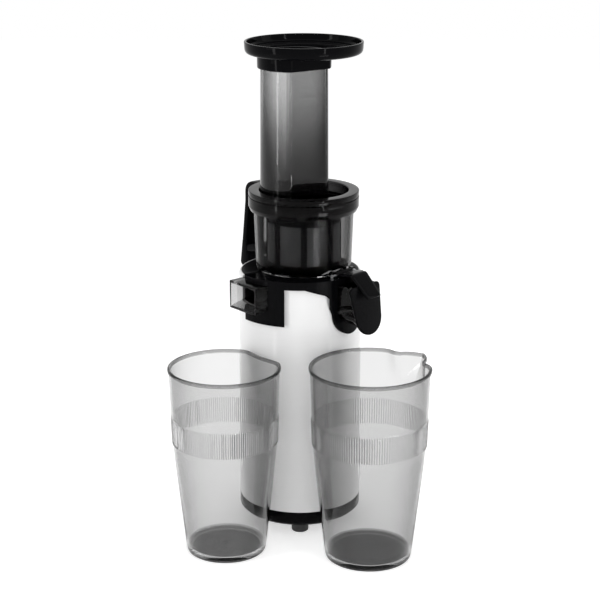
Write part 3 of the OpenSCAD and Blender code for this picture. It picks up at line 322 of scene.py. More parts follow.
# %% Clear smoke plastic
def smoke(name, clear, low=0.0, high=1.0, dark=None, ior=1.49, cup=None, face=None, bend=3.5):
    """Tinted clear plastic. A wall seen square passes the share clear; between the heights low and
    high, in millimetres, the share goes smoothly from dark to clear. Seen at a slant, the way through
    is longer, so the share becomes share ** (1 + bend facing^2). cup is an axis (x, y), a number of
    flutes, the heights of their band and that of the lip: each groove gets painted shade, and the thick
    lip and the gate mark in the middle of the foot are darker. face is an axis (x, y), a direction and a
    distance: the wall that stands farther out than that is darker, which is painted shade."""
    made = bpy.data.materials.new(name)
    tree, add = node_tree(made)
    place = add("TexCoord")
    ripple = add("TexNoise", {"Vector": place.outputs["Object"], "Scale": 45.0, "Detail": 1.0})
    at = add("SeparateXYZ", {0: place.outputs["Object"]})
    share = add("MapRange", {"Value": at.outputs[2], "From Min": low * MM, "From Max": high * MM,
                             "To Min": clear if dark is None else dark, "To Max": clear},
                interpolation_type="SMOOTHSTEP")
    cloud = add("MapRange", {"Value": ripple.outputs["Fac"], "To Min": 0.99, "To Max": 1.01})
    share = add("Math", {0: share.outputs[0], 1: cloud.outputs[0]}, operation="MULTIPLY")
    if cup:
        (x, y), flutes, band_low, band_high, lip = cup
        x = add("Math", {0: at.outputs[0], 1: x * MM}, operation="SUBTRACT")
        y = add("Math", {0: at.outputs[1], 1: y * MM}, operation="SUBTRACT")
        angle = add("Math", {0: y.outputs[0], 1: x.outputs[0]}, operation="ARCTAN2")
        wave = add("Math", {0: angle.outputs[0], 1: float(flutes)}, operation="MULTIPLY")
        wave = add("Math", {0: wave.outputs[0]}, operation="COSINE")
        # Painted shade in the flutes: the band's grooves are darkened in the tint.
        groove = add("MapRange", {"Value": wave.outputs[0], "From Min": -0.2, "From Max": 1.0,
                                  "To Min": 0.0, "To Max": 0.3})
        start = add("Math", {0: at.outputs[2], 1: band_low * MM}, operation="GREATER_THAN")
        stop = add("Math", {0: at.outputs[2], 1: band_high * MM}, operation="LESS_THAN")
        band = add("Math", {0: start.outputs[0], 1: stop.outputs[0]}, operation="MULTIPLY")
        groove = add("Math", {0: groove.outputs[0], 1: band.outputs[0]}, operation="MULTIPLY")
        groove = add("Math", {0: 1.0, 1: groove.outputs[0]}, operation="SUBTRACT")
        share = add("Math", {0: share.outputs[0], 1: groove.outputs[0]}, operation="MULTIPLY")
        far = add("CombineXYZ", {0: x.outputs[0], 1: y.outputs[0]})
        far = add("VectorMath", {0: far.outputs[0]}, operation="LENGTH")
        gate = add("MapRange", {"Value": far.outputs["Value"], "From Min": 1.2 * MM, "From Max": 1.7 * MM,
                                "To Min": 0.3, "To Max": 1.0})
        share = add("Math", {0: share.outputs[0], 1: gate.outputs[0]}, operation="MULTIPLY")
        rim = add("MapRange", {"Value": at.outputs[2], "From Min": lip * MM, "From Max": (lip + 0.5) * MM,
                               "To Min": 1.0, "To Max": 0.5})
        share = add("Math", {0: share.outputs[0], 1: rim.outputs[0]}, operation="MULTIPLY")
    if face:
        (x, y), way, off = face
        x = add("Math", {0: at.outputs[0], 1: x * MM}, operation="SUBTRACT")
        y = add("Math", {0: at.outputs[1], 1: y * MM}, operation="SUBTRACT")
        x = add("Math", {0: x.outputs[0], 1: math.cos(way)}, operation="MULTIPLY")
        y = add("Math", {0: y.outputs[0], 1: math.sin(way)}, operation="MULTIPLY")
        out = add("Math", {0: x.outputs[0], 1: y.outputs[0]}, operation="ADD")
        # Painted shade on the flat face: the wall beyond the flat's distance is darkened, though it is no thicker.
        flat = add("MapRange", {"Value": out.outputs[0], "From Min": off * MM, "From Max": (off + 0.2) * MM,
                                "To Min": 1.0, "To Max": 0.55})
        share = add("Math", {0: share.outputs[0], 1: flat.outputs[0]}, operation="MULTIPLY")
    slant = add("LayerWeight", {"Blend": 0.5})
    slant = add("Math", {0: slant.outputs["Facing"], 1: 2.0}, operation="POWER")
    longer = add("MapRange", {"Value": slant.outputs[0], "To Min": 1.0, "To Max": 1.0 + bend})
    tint = add("Math", {0: share.outputs[0], 1: longer.outputs[0]}, operation="POWER")
    shader = add("BsdfPrincipled", {"Base Color": tint.outputs[0], "Roughness": 0.02, "IOR": ior,
                                    "Transmission Weight": 1.0})
    add("OutputMaterial", {"Surface": shader.outputs[0]})
    return made


PULP_AXIS, JUICE_AXIS = (-58.89, -70.68), (54.06, -82.93)
PULP_FLUTES, JUICE_FLUTES = 150, 144
PULP_SMOKE = smoke("pulp_cup_smoke", 0.73, low=4.6, high=5.4, dark=0.32, ior=1.25,
                   cup=(PULP_AXIS, PULP_FLUTES, 91.8, 112.8, 150.2))
JUICE_SMOKE = smoke("juice_cup_smoke", 0.7, low=4.6, high=5.4, dark=0.24, ior=1.25,
                    cup=(JUICE_AXIS, JUICE_FLUTES, 94.2, 115.2, 154.2))
BOWL_SMOKE = smoke("bowl_smoke", 0.6, ior=1.09, bend=6.0)
OUTLET_SMOKE = smoke("outlet_smoke", 0.62, ior=1.2, bend=8.0)
LID_SMOKE = smoke("lid_smoke", 0.04, ior=1.17)
# The chute's tint carries painted shade: it grows darker towards its foot between 262 and 370 mm, and darker on its
# flat face.
CHUTE_SMOKE = smoke("chute_smoke", 0.68, low=262, high=370, dark=0.1, ior=1.3, bend=9.0,
                    face=((-4.5, 0.0), math.radians(34.5 - 90), 18.0))
print("smoke tints", [m.name for m in bpy.data.materials if m.name.endswith("smoke")])

# %% [markdown]
# ## Surfaces
#
# Every new piece is a grid of points: each row is a closed outline, and the rows follow a profile.
# Blender's Spin and Screw tools could turn a profile too, but a grid also lets the outline change on
# the way, from a circle to the chute's flattened circle, which a lathe can't do.


# %% Grid to mesh
def surface(name, rows, material, nodes, body, closed=False, sharp=35):
    """A mesh from a grid of points in millimetres, shape (rows, columns, 3). Each row closes on
    itself; with closed, the last row also joins the first, as on a ring with a wall. Rows that are
    all one point become poles."""
    m, n, _ = rows.shape
    i, j = np.meshgrid(np.arange(m if closed else m - 1), np.arange(n), indexing="ij")
    up, on = (i + 1) % m, (j + 1) % n
    quads = np.stack([i * n + j, i * n + on, up * n + on, up * n + j], -1).reshape(-1, 4)
    mesh = bpy.data.meshes.new(name)
    mesh.from_pydata((rows.reshape(-1, 3) * MM).tolist(), [], quads.tolist())
    return place_mesh(name, mesh, material, nodes, body, sharp)


def place_mesh(name, mesh, material, nodes, body, sharp=35):
    """Merges doubles, turns the faces outwards, smooths all but the sharp edges, and puts the piece
    on its body in place of its CAD nodes."""
    work = bmesh.new()
    work.from_mesh(mesh)
    bmesh.ops.remove_doubles(work, verts=work.verts, dist=1e-6)
    bmesh.ops.dissolve_degenerate(work, dist=1e-7, edges=work.edges)
    bmesh.ops.recalc_face_normals(work, faces=work.faces)
    work.to_mesh(mesh)
    work.free()
    mesh.shade_smooth()
    mesh.set_sharp_from_angle(angle=math.radians(sharp))
    mesh.materials.append(material)
    piece = bpy.data.objects.new(name, mesh)
    scene.collection.objects.link(piece)
    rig.ride(piece, body)
    if nodes:
        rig.replaces(piece, *nodes)
    print(f"{name}: {len(mesh.polygons)} faces")
    return piece


# %% Outlines and profiles
def rounded(corners, radius, steps=6, closed=False):
    """A polyline whose corners are eased: each corner P becomes the curve (1-t)^2 A + 2t(1-t) P + t^2 B,
    where A and B lie on the sides, radius / tan(half the corner's angle) away from P."""
    p = np.asarray(corners, float)
    radius = np.broadcast_to(np.asarray(radius, float), len(p)).copy()
    back, ahead = np.roll(p, 1, 0) - p, np.roll(p, -1, 0) - p
    if not closed:
        radius[[0, -1]] = 0
    lengths = [np.maximum(np.linalg.norm(side, axis=1), 1e-9) for side in (back, ahead)]
    back, ahead = back / lengths[0][:, None], ahead / lengths[1][:, None]
    half = np.arccos(np.clip((back * ahead).sum(1), -1, 1)) / 2
    cut = np.minimum(radius / np.maximum(np.tan(half), 1e-6), 0.49 * np.minimum(*lengths))
    a, b = p + back * cut[:, None], p + ahead * cut[:, None]
    t = np.linspace(0, 1, steps)[None, :, None]
    curve = (1 - t) ** 2 * a[:, None] + 2 * t * (1 - t) * p[:, None] + t ** 2 * b[:, None]
    return curve.reshape(-1, p.shape[1])


def angles(count):
    """Evenly spaced angles once round, in radians."""
    return np.arange(count) * 2 * np.pi / count


def turned(profile, centre=(0, 0), count=144):
    """Rows of a turned surface: the point (r, z) of the profile becomes the circle of radius r about
    the upright axis through centre, at height z."""
    a = angles(count)
    r, z = np.asarray(profile, float).T
    x = centre[0] + r[:, None] * np.cos(a)
    y = centre[1] + r[:, None] * np.sin(a)
    return np.stack([x, y, np.broadcast_to(z[:, None], x.shape)], -1)


def slab(name, outline, low, high, edge, axes, material, nodes, body, steps=5, sharp=35):
    """A plate with rounded edges: the closed outline (u, v) is carried from w = low to w = high, drawn
    in along its own normals by edge * (1 - cos) near both faces. axes are the origin and the
    directions of u, v and w."""
    p = np.asarray(outline, float)
    keep = np.linalg.norm(p - np.roll(p, 1, 0), axis=1) > 1e-4
    p = p[keep]
    along = np.roll(p, -1, 0) - np.roll(p, 1, 0)
    turn = np.sign((p[:, 0] * np.roll(p[:, 1], -1) - np.roll(p[:, 0], -1) * p[:, 1]).sum())
    normal = turn * np.stack([-along[:, 1], along[:, 0]], 1) / np.linalg.norm(along, axis=1)[:, None]
    q = np.linspace(0, np.pi / 2, steps)
    inset = np.concatenate([edge * (1 - np.sin(q)), edge * (1 - np.cos(q))])
    w = np.concatenate([low + edge * (1 - np.cos(q)), high - edge * (1 - np.sin(q))])
    flat = p[None] + normal[None] * inset[:, None, None]
    origin, u, v, n = (np.asarray(a, float) for a in axes)
    rows = origin + flat[..., :1] * u + flat[..., 1:] * v + w[:, None, None] * n
    m, count, _ = rows.shape
    i, j = np.meshgrid(np.arange(m - 1), np.arange(count), indexing="ij")
    on = (j + 1) % count
    quads = np.stack([i * count + j, i * count + on, (i + 1) * count + on, (i + 1) * count + j], -1)
    faces = quads.reshape(-1, 4).tolist()
    faces += [list(range(count))[::-1], list(range((m - 1) * count, m * count))]
    mesh = bpy.data.meshes.new(name)
    mesh.from_pydata((rows.reshape(-1, 3) * MM).tolist(), [], faces)
    return place_mesh(name, mesh, material, nodes, body, sharp)


print("surface helpers ready")

# %% [markdown]
# ## Sizes from the frame
#
# The new surfaces have to sit exactly where the CAD parts sit, so their main sizes are read from the
# boxes of the CAD nodes. Sizes that no box gives, such as the cups' axes, are typed and must match it.


# %% Sizes
def span(node):
    """Lowest and highest corner of a CAD node, in millimetres."""
    low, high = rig.box(node)
    return np.array(low) / MM, np.array(high) / MM


TRAY_LOW, TRAY_HIGH = span("hopper_tray")
CHUTE_LOW, CHUTE_HIGH = span("feed_chute")
LID_LOW, LID_HIGH = span("lid")
BOWL_LOW, BOWL_HIGH = span("juicing_bowl")
DRIVE = np.array([(TRAY_LOW[0] + TRAY_HIGH[0]) / 2, 0.0])
TRAY_R = (TRAY_HIGH[0] - TRAY_LOW[0]) / 2
LID_R = (LID_HIGH[0] - LID_LOW[0]) / 2
CHUTE_R = (CHUTE_HIGH[0] - CHUTE_LOW[0]) / 2
CHUTE_AXIS = np.array([(CHUTE_LOW[0] + CHUTE_HIGH[0]) / 2, 0.0])
CHUTE_FLAT = 20.6
CHUTE_FLAT_WAY = math.radians(34.5 - 90)
SEAT_Z = span("top_deck")[1][2]
print("drive axis", DRIVE, "tray radius", round(TRAY_R, 2), "chute axis", CHUTE_AXIS, "seat", SEAT_Z)

# %% [markdown]
# ## Hopper tray and chute
#
# Food goes into a shallow black tray and down a smoke-grey tube. The tube is round with one flat face,
# which keeps the tray from turning. Both are moulded, so every edge is eased. The tray is drawn as
# circles that change into the tube's outline where its floor meets the hole.


# %% The chute's outline
def chute_rows(profile, count=144):
    """Rows of the flattened circle: the point (grow, z) gives the outline that stands grow outside the
    chute's own. With R the circle and F the flat's distance, 1 / r^K = 1 / R^K + (cos of the angle
    from the flat / F)^K, which is the smaller of both with a small round corner."""
    a = angles(count)
    grow, z = np.asarray(profile, float).T
    away = np.cos(a - CHUTE_FLAT_WAY)[None, :]
    blunt = 60.0
    flat = np.maximum(away, 0) / (CHUTE_FLAT + grow[:, None])
    r = ((1 / (CHUTE_R + grow[:, None])) ** blunt + flat ** blunt) ** (-1 / blunt)
    x = CHUTE_AXIS[0] + r * np.cos(a)
    y = CHUTE_AXIS[1] + r * np.sin(a)
    return np.stack([x, y, np.broadcast_to(z[:, None], x.shape)], -1)


# %% Tray, collar and chute
SMOOTH_COUNT = 192
TRAY_WALL = 1.9
CHUTE_WALL = 1.8
tray_bottom, tray_top = TRAY_LOW[2], TRAY_HIGH[2]
tray_profile = rounded(
    [(36.0, tray_bottom), (TRAY_R - 0.5, tray_bottom), (TRAY_R, tray_top), (TRAY_R - TRAY_WALL, tray_top),
     (TRAY_R - TRAY_WALL - 0.6, tray_bottom + 4.4), (TRAY_R - 6.6, tray_bottom + 3.6),
     (TRAY_R - 7.6, tray_bottom + 2.2), (37.0, tray_bottom + 1.9)],
    [0, 4.6, 0.7, 0.7, 2.2, 0.7, 1.2, 0])
tray_hole = rounded([(0.4, tray_bottom + 1.8), (-CHUTE_WALL, tray_bottom + 1.5), (-CHUTE_WALL, tray_bottom)],
                    [0, 0.8, 0])
tray_rows = np.concatenate([turned(tray_profile, DRIVE, SMOOTH_COUNT), chute_rows(tray_hole, SMOOTH_COUNT)])
surface("tray", tray_rows, FINISH["black_gloss"], ["hopper_tray"], "tray", closed=True)

COLLAR_DEEP = tray_bottom - span("tray_collar")[0][2]
collar = rounded([(0.3, tray_bottom), (2.3, tray_bottom), (2.1, tray_bottom - COLLAR_DEEP),
                  (0.3, tray_bottom - COLLAR_DEEP)], [0.1, 0.4, 1.3, 0.3], closed=True)
surface("collar", chute_rows(collar, SMOOTH_COUNT), FINISH["black_gloss"], ["tray_collar"], "tray",
        closed=True)

PLATE_Z = LID_HIGH[2] - 10.5
CHUTE_DRAFT = 0.5
chute_top = CHUTE_HIGH[2]
chute = rounded([(CHUTE_DRAFT, PLATE_Z), (-CHUTE_DRAFT, chute_top), (-CHUTE_DRAFT - CHUTE_WALL, chute_top),
                 (CHUTE_DRAFT - CHUTE_WALL, PLATE_Z)], [0.2, 0.5, 0.5, 0.2], closed=True)
surface("chute", chute_rows(chute, SMOOTH_COUNT), CHUTE_SMOKE, ["feed_chute"], "lid", closed=True)

# %% [markdown]
# ## Lid
#
# The lid is a deep ring that twists onto the bowl's lugs. A flat land runs round its top, a fine
# groove below it, and inside a recess holds the foot of the chute. It is one closed profile: over the
# land, into the recess, through the hole under the chute, and back along the spigot inside the bowl.

# %% Lid
RIM_Z = 269.4
LID_LAND = 8.3
SPIGOT_R = 36.4
SKIRT_IN = 42.2
low, top = LID_LOW[2], LID_HIGH[2]
low = max(low, RIM_Z - 7.4)
lid_outside = rounded(
    [(SKIRT_IN, RIM_Z + 0.3), (SKIRT_IN, low), (SKIRT_IN + 0.5, low), (LID_R, low + 3.4), (LID_R, low + 10.9),
     (LID_R - 0.7, low + 11.2), (LID_R - 0.7, low + 12.1), (LID_R, low + 12.4), (LID_R, top),
     (LID_R - LID_LAND, top), (LID_R - LID_LAND - 0.4, PLATE_Z), (SPIGOT_R - 1.5, PLATE_Z)],
    [0, 0.2, 0.2, 0.8, 0.3, 0.2, 0.2, 0.3, 0.7, 0.9, 1.2, 0])
lid_hole = [(-CHUTE_WALL, PLATE_Z), (-CHUTE_WALL, PLATE_Z - 2.2)]
lid_inside = rounded([(SPIGOT_R - 2, PLATE_Z - 2.2), (SPIGOT_R - 2, low), (SPIGOT_R, low),
                      (SPIGOT_R, RIM_Z + 0.3)], [0, 0.5, 0.5, 0])
lid_rows = np.concatenate([turned(lid_outside, DRIVE, SMOOTH_COUNT), chute_rows(lid_hole, SMOOTH_COUNT),
                           turned(lid_inside, DRIVE, SMOOTH_COUNT)])
surface("lid_ring", lid_rows, LID_SMOKE, ["lid"], "lid", closed=True)
BUSH_R = 6.0
boss = rounded([(BUSH_R, PLATE_Z - 2.2), (BUSH_R, PLATE_Z - 10.2), (BUSH_R + 2, PLATE_Z - 10.2),
                (BUSH_R + 2, PLATE_Z - 2.2)], [0, 0.4, 0.4, 0])
surface("lid_boss", turned(boss, DRIVE, 48), LID_SMOKE, [], "lid", closed=True)

# %% [markdown]
# ## Cups
#
# Both cups are thin, clear and slightly conical, with a rolled lip and a band of fine flutes to hold
# them by. The pulp cup is pressed flat where it meets the housing; the juice cup is drawn out to a
# pouring spout. A cup is one closed surface, from the middle of its foot up the outside, over the lip
# and down the inside. Its radius is a function of height and angle.

# %% The cup's wall
CUP_COUNT = 720
CUP_WALL = 1.6
CUP_FLOOR = 4.5
FLUTE_DEEP = 0.45
BAND_OUT = 0.4


def step(t):
    """Smooth step: 0 below 0, 1 above 1, and 3t^2 - 2t^3 between."""
    t = np.clip(t, 0, 1)
    return t * t * (3 - 2 * t)


def cup(name, node, centre, turn, rim, base, tall, press, flutes, material):
    """Rows (z, side) climb the outside, turn over the lip and go down the inside. The plain radius
    runs straight from base to the knee under the band and on to the rim; press(r, angle, z) then
    shapes each row. In the band the wall stands BAND_OUT out and its flutes add |cos| of the angle."""
    band_low, band_high = 0.6 * tall, 0.6 * tall + 21
    knee = base + (rim - 1 - base) * 0.83
    wall_z = np.concatenate([np.linspace(4.5, band_low, 8), [band_low + 0.3],
                             np.linspace(band_low + 0.5, band_high - 0.5, 6), [band_high - 0.3],
                             np.linspace(band_high, tall - 3.2, 14)])
    plain = np.interp(wall_z, [4.5, band_low, tall - 3], [base, knee, rim - 1])
    in_band = step((wall_z - band_low) / 0.5) * step((band_high - wall_z) / 0.5)
    heel = rounded([(0, 0.6), (base - 6, 0.6), (base - 5, 0), (base - 1, 0), (base, 4.5)],
                   [0, 1, 0.5, 2.2, 0])
    lip = rounded([(rim - 1, tall - 3.2), (rim - 0.6, tall - 2.8), (rim, tall - 2.2), (rim, tall),
                   (rim - 2.3, tall), (rim - 1 - CUP_WALL, tall - 3)], [0, 0.3, 0.4, 1.1, 0.9, 0])
    inner = rounded([(rim - 1 - CUP_WALL, tall - 3), (knee - CUP_WALL, band_low),
                     (base - CUP_WALL, CUP_FLOOR), (0, CUP_FLOOR)], [0, 20, 3.5, 0])
    steps_in = np.linspace(tall - 3, tall - 30, 12)[1:]
    upper_r = np.interp(steps_in, [band_low, tall - 3], [knee - CUP_WALL, rim - 1 - CUP_WALL])
    upper_in = np.stack([upper_r, steps_in], 1)
    lower_in = inner[inner[:, 1] < tall - 31]
    r = np.concatenate([heel[:, 0], plain + BAND_OUT * in_band, lip[:, 0], upper_in[:, 0], lower_in[:, 0]])
    z = np.concatenate([heel[:, 1], wall_z, lip[:, 1], upper_in[:, 1], lower_in[:, 1]])
    after = len(lip) + len(upper_in) + len(lower_in)
    fluted = np.concatenate([np.zeros(len(heel)), in_band, np.zeros(after)])
    a = angles(CUP_COUNT)[None, :]
    ribs = np.abs(np.cos(flutes * (a + turn) / 2)) - 1
    radius = press(r[:, None] + 0 * a, a, z[:, None]) + FLUTE_DEEP * fluted[:, None] * ribs
    x = centre[0] + radius * np.cos(a + turn)
    y = centre[1] + radius * np.sin(a + turn)
    rows = np.stack([x, y, np.broadcast_to(z[:, None], x.shape)], -1)
    return surface(name, rows, material, [node], node, sharp=50)


# %% Pulp cup, pressed flat
PULP_RIM, PULP_BASE, PULP_TALL = 44.2, 32.2, 153.0
PULP_TURN = math.radians(41)
PULP_FLAT = PULP_RIM - 5.0
PULP_LEAN = math.radians(4.0)
HOLLOW, HOLLOW_HALF, HOLLOW_TALL = 1.6, 0.47, 45


def press_flat(r, a, z):
    """The smaller of the round radius and the flat's distance / cos(angle), with a small round corner.
    The flat leans out towards the foot, and its middle is a little hollow."""
    a = (a + np.pi) % (2 * np.pi) - np.pi
    inset = PULP_RIM - r
    lip = z > PULP_TALL - 3.1
    lean = PULP_FLAT + (PULP_TALL - z) * math.tan(PULP_LEAN)
    lean = lean - np.where(lip, inset, np.maximum(inset - 1, 0) * (inset < 6))
    across = step(1 - np.abs(a) / HOLLOW_HALF)
    upward = step((z - PULP_TALL + HOLLOW_TALL) / HOLLOW_TALL)
    lean = lean - HOLLOW * across * upward
    blunt = 70.0
    flat = np.maximum(np.cos(a), 0) / np.maximum(lean, 1)
    return np.where(r > 1, ((1 / np.maximum(r, 1)) ** blunt + flat ** blunt) ** (-1 / blunt), r)


cup("pulp_cup_body", "pulp_cup", PULP_AXIS, PULP_TURN, PULP_RIM, PULP_BASE, PULP_TALL, press_flat,
    PULP_FLUTES, PULP_SMOKE)

# %% Juice cup, drawn out to a spout
JUICE_RIM, JUICE_BASE, JUICE_TALL = 47.6, 34.8, 157.0
JUICE_TURN = math.radians(36.4)
SPOUT_OUT, SPOUT_HALF = 7.2, math.radians(18)
SHOULDER_IN, SHOULDER_AT, SHOULDER_WIDE = 3.2, math.radians(23), math.radians(8)
SPOUT_DEEP = 27.0


def draw_spout(r, a, z):
    """Adds a straight-sided beak at angle 0 and takes a soft hollow out of each shoulder, both growing
    from nothing at the spout's foot to their full size at the rim."""
    a = np.abs((a + np.pi) % (2 * np.pi) - np.pi)
    grown = step((z - JUICE_TALL + SPOUT_DEEP) / SPOUT_DEEP) * (r > 30)
    beak = SPOUT_OUT * np.maximum(1 - a / SPOUT_HALF, 0)
    hollow = SHOULDER_IN * np.exp(-((a - SHOULDER_AT) / SHOULDER_WIDE) ** 2)
    return r + grown * (beak - hollow)


cup("juice_cup_body", "juice_cup", JUICE_AXIS, JUICE_TURN, JUICE_RIM, JUICE_BASE, JUICE_TALL, draw_spout,
    JUICE_FLUTES, JUICE_SMOKE)

# %% [markdown]
# ## Straps: handle and cap lever
#
# The handle and the lever over the juice cap are straps: a flat rounded section carried along a bent
# path. A Bezier curve with a bevel object would do it too, but here the width may change on the way.


# %% Strap along a path
def strap(name, path, width, thick, azimuth, material, nodes, body, ends=2.0, section=40):
    """The path (out, z) lies in the upright plane at azimuth through the drive axis. At each point the
    section is a superellipse, |x / half width|^5 + |y / half thickness|^3.2 = 1, square to the path.
    Over the last few millimetres it closes as sqrt(1 - s^2)."""
    p = np.asarray(path, float)
    keep = np.concatenate([[True], np.linalg.norm(np.diff(p, axis=0), axis=1) > 0.05])
    p = p[keep]
    width = np.broadcast_to(np.asarray(width, float), len(keep))[keep]
    thick = np.broadcast_to(np.asarray(thick, float), len(keep))[keep]
    length = np.concatenate([[0], np.cumsum(np.linalg.norm(np.diff(p, axis=0), axis=1))])
    near = 1 - np.cos(np.linspace(0, np.pi / 2, 7))
    middle = np.arange(ends, length[-1] - ends, 1.0)[1:]
    s = np.concatenate([near * ends, middle, length[-1] - near[::-1] * ends])
    at = np.stack([np.interp(s, length, p[:, k]) for k in (0, 1)], 1)
    wide, deep = np.interp(s, length, width), np.interp(s, length, thick)
    tangent = np.gradient(at, s, axis=0)
    tangent /= np.linalg.norm(tangent, axis=1)[:, None]
    edge = np.minimum(s, length[-1] - s) / ends
    shut = np.sqrt(np.clip(1 - (1 - np.minimum(edge, 1)) ** 2, 0, 1))
    a = angles(section)
    across = np.sign(np.cos(a)) * np.abs(np.cos(a)) ** (2 / 5)
    over = np.sign(np.sin(a)) * np.abs(np.sin(a)) ** (2 / 3.2)
    narrow = 1 - 0.5 * np.minimum(deep / wide, 1) * (1 - shut)
    side = (wide * narrow / 2)[:, None] * across * np.where(shut > 0, 1, 0)[:, None]
    lift = (deep * shut / 2)[:, None] * over
    out = at[:, :1] - tangent[:, 1:] * lift
    z = at[:, 1:] + tangent[:, :1] * lift
    way = math.radians(azimuth)
    ahead = np.array([math.sin(way), -math.cos(way)])
    beside = np.array([math.cos(way), math.sin(way)])
    xy = DRIVE + out[..., None] * ahead + side[..., None] * beside
    rows = np.concatenate([xy, z[..., None]], -1)
    return surface(name, rows, material, nodes, body, sharp=60)


# %% Handle
HANDLE_AZ = -141
HANDLE_OUT = LID_R + 24.3
handle_path = rounded(
    [(39.5, SEAT_Z + 42.5), (LID_R + 4.2, SEAT_Z + 42.5), (LID_R + 4.6, SEAT_Z + 59.8),
     (HANDLE_OUT - 3, SEAT_Z + 59.8), (HANDLE_OUT - 3.1, SEAT_Z + 46), (HANDLE_OUT + 0.5, SEAT_Z + 11),
     (HANDLE_OUT + 0.9, SEAT_Z - 12)],
    [0, 5, 11, 13, 20, 16, 0], steps=12)
handle_thick = np.interp(handle_path[:, 1], [SEAT_Z - 8, SEAT_Z + 4, SEAT_Z + 12], [13.0, 9.5, 6.2])
handle_width = np.interp(handle_path[:, 1], [SEAT_Z, SEAT_Z + 14, SEAT_Z + 50], [18.5, 17, 16])
strap("handle", handle_path, handle_width, handle_thick, HANDLE_AZ, FINISH["black_gloss"], ["bowl_handle"],
      "bowl", ends=5.0)
low_arm = rounded([(37.6, SEAT_Z + 7), (57, SEAT_Z + 7), (HANDLE_OUT - 1, SEAT_Z + 4.5)], [0, 8, 0])
strap("handle_arm", low_arm, 15.6, 7.8, HANDLE_AZ, FINISH["black_gloss"], [], "bowl")

# %% [markdown]
# ## Juice cap
#
# A black flap closes the juice outlet. It is a plate with a round foot that leans with the mouth, and a
# lever from the hinge at the bowl's foot presses it shut. A press on the lever's button opens it.

# %% Cap plate
JUICE_AZ = 48.0
JUICE_REACH = 61.5
CAP_LEAN = 11.0
CAP_TOP = SEAT_Z - 1.5
CAP_ROUND, CAP_HALF, CAP_DROP, CAP_THICK = 15.0, 18.0, 25.0, 3.0
way = math.radians(JUICE_AZ)
ahead = np.array([math.sin(way), -math.cos(way), 0])
beside = np.array([math.cos(way), math.sin(way), 0])
lean = math.radians(CAP_LEAN)
mouth_out = ahead * math.cos(lean) + np.array([0, 0, 1]) * math.sin(lean)
mouth_up = np.array([0, 0, 1]) * math.cos(lean) - ahead * math.sin(lean)
mouth = np.array([*DRIVE, CAP_TOP]) + ahead * JUICE_REACH
turn = np.linspace(np.pi, 2 * np.pi, 25)
foot = np.stack([CAP_ROUND * np.cos(turn), CAP_ROUND * np.sin(turn) - CAP_DROP], 1)
shoulders = rounded([(CAP_ROUND, -CAP_DROP), (CAP_HALF, 0), (-CAP_HALF, 0), (-CAP_ROUND, -CAP_DROP)],
                    [0, 4, 4, 0])
cap_outline = np.concatenate([foot, shoulders])
slab("cap_plate", cap_outline, 0.3, 0.3 + CAP_THICK, 1.1, (mouth, beside, mouth_up, mouth_out),
     FINISH["black_satin"], ["juice_cap"], "juice_cap")

# %% Lever and its knuckle
HINGE_R, HINGE_Z = 41.8, SEAT_Z + 4.0
lever_path = rounded([(HINGE_R, HINGE_Z), (HINGE_R + 6, SEAT_Z + 5.2), (57.7, SEAT_Z + 6.3),
                      (73.9, SEAT_Z - 9.6)], [0, 5, 2.2, 0], steps=10)
lever_width = np.interp(lever_path[:, 0], [HINGE_R, 58, 73.9], [19, 19, 16.5])
strap("lever", lever_path, lever_width, 2.5, JUICE_AZ, FINISH["black_gloss"], ["cap_lever"], "juice_cap",
      ends=3.0)
knuckle = rounded([(0, -9.5), (3.0, -9.5), (3.0, 9.5), (0, 9.5)], [0, 0.8, 0.8, 0])
a = angles(32)
r, w = knuckle.T
hinge = np.array([*DRIVE, HINGE_Z]) + ahead * HINGE_R
knuckle_out = (r[:, None] * np.cos(a))[..., None] * ahead
knuckle_up = (r[:, None] * np.sin(a))[..., None] * (0, 0, 1)
knuckle_rows = hinge + knuckle_out + knuckle_up + (w[:, None] + 0 * a)[..., None] * beside
surface("lever_knuckle", knuckle_rows, FINISH["black_gloss"], [], "juice_cap")

# %% [markdown]
# ## Rubber feet
#
# Five soft feet keep the juicer from walking. Each is a short turned button.

# %% Feet
FOOT_R, FOOT_H, FOOT_ORBIT = 7.0, 8.0, 37.5
foot_profile = rounded([(0, 0), (FOOT_R, 0), (FOOT_R, FOOT_H), (FOOT_R - 2, FOOT_H),
                        (FOOT_R - 2, FOOT_H + 1.9), (0, FOOT_H + 1.9)], [0, 1.4, 0.3, 0.1, 0.3, 0])
FOOT_PLACES = [(0.0, 0.0)]
FOOT_PLACES += [(FOOT_ORBIT * math.cos(k), FOOT_ORBIT * math.sin(k)) for k in np.arange(4) * np.pi / 2]
for number, place in enumerate(FOOT_PLACES):
    surface(f"foot_{number}", turned(foot_profile, place, 64), FINISH["rubber"],
            ["rubber_feet"] if number == 0 else [], "base")

# %% [markdown]
# ## Merged copies of exact parts
#
# The bowl, its outlets, the skirt and the housing already have their true shape in the CAD model. Their
# meshes are loose triangles, so a merged copy takes their place: it shades smoothly, and on the pulp
# outlet and the skirt a small bevel eases the edges, as a mould does.


# %% Merge and bevel
def eased(node, body, material, edge=0.0, sharp=35):
    """A merged copy of a CAD node. Flat areas become single faces, and each edge sharper than 40
    degrees gets a two-step bevel, edge millimetres wide."""
    mesh = NODES[node].data.copy()
    mesh.materials.clear()
    work = bmesh.new()
    work.from_mesh(mesh)
    bmesh.ops.remove_doubles(work, verts=work.verts, dist=2e-6)
    if edge:
        bmesh.ops.dissolve_limit(work, angle_limit=math.radians(0.4), verts=work.verts, edges=work.edges)
        corner = [e for e in work.edges if len(e.link_faces) == 2 and e.calc_face_angle(0) > math.radians(40)]
        bmesh.ops.bevel(work, geom=corner, offset=edge * MM, offset_type="OFFSET", segments=2, profile=0.6,
                        affect="EDGES", clamp_overlap=True)
    work.to_mesh(mesh)
    work.free()
    return place_mesh(node + "_eased", mesh, material, [node], body, sharp)


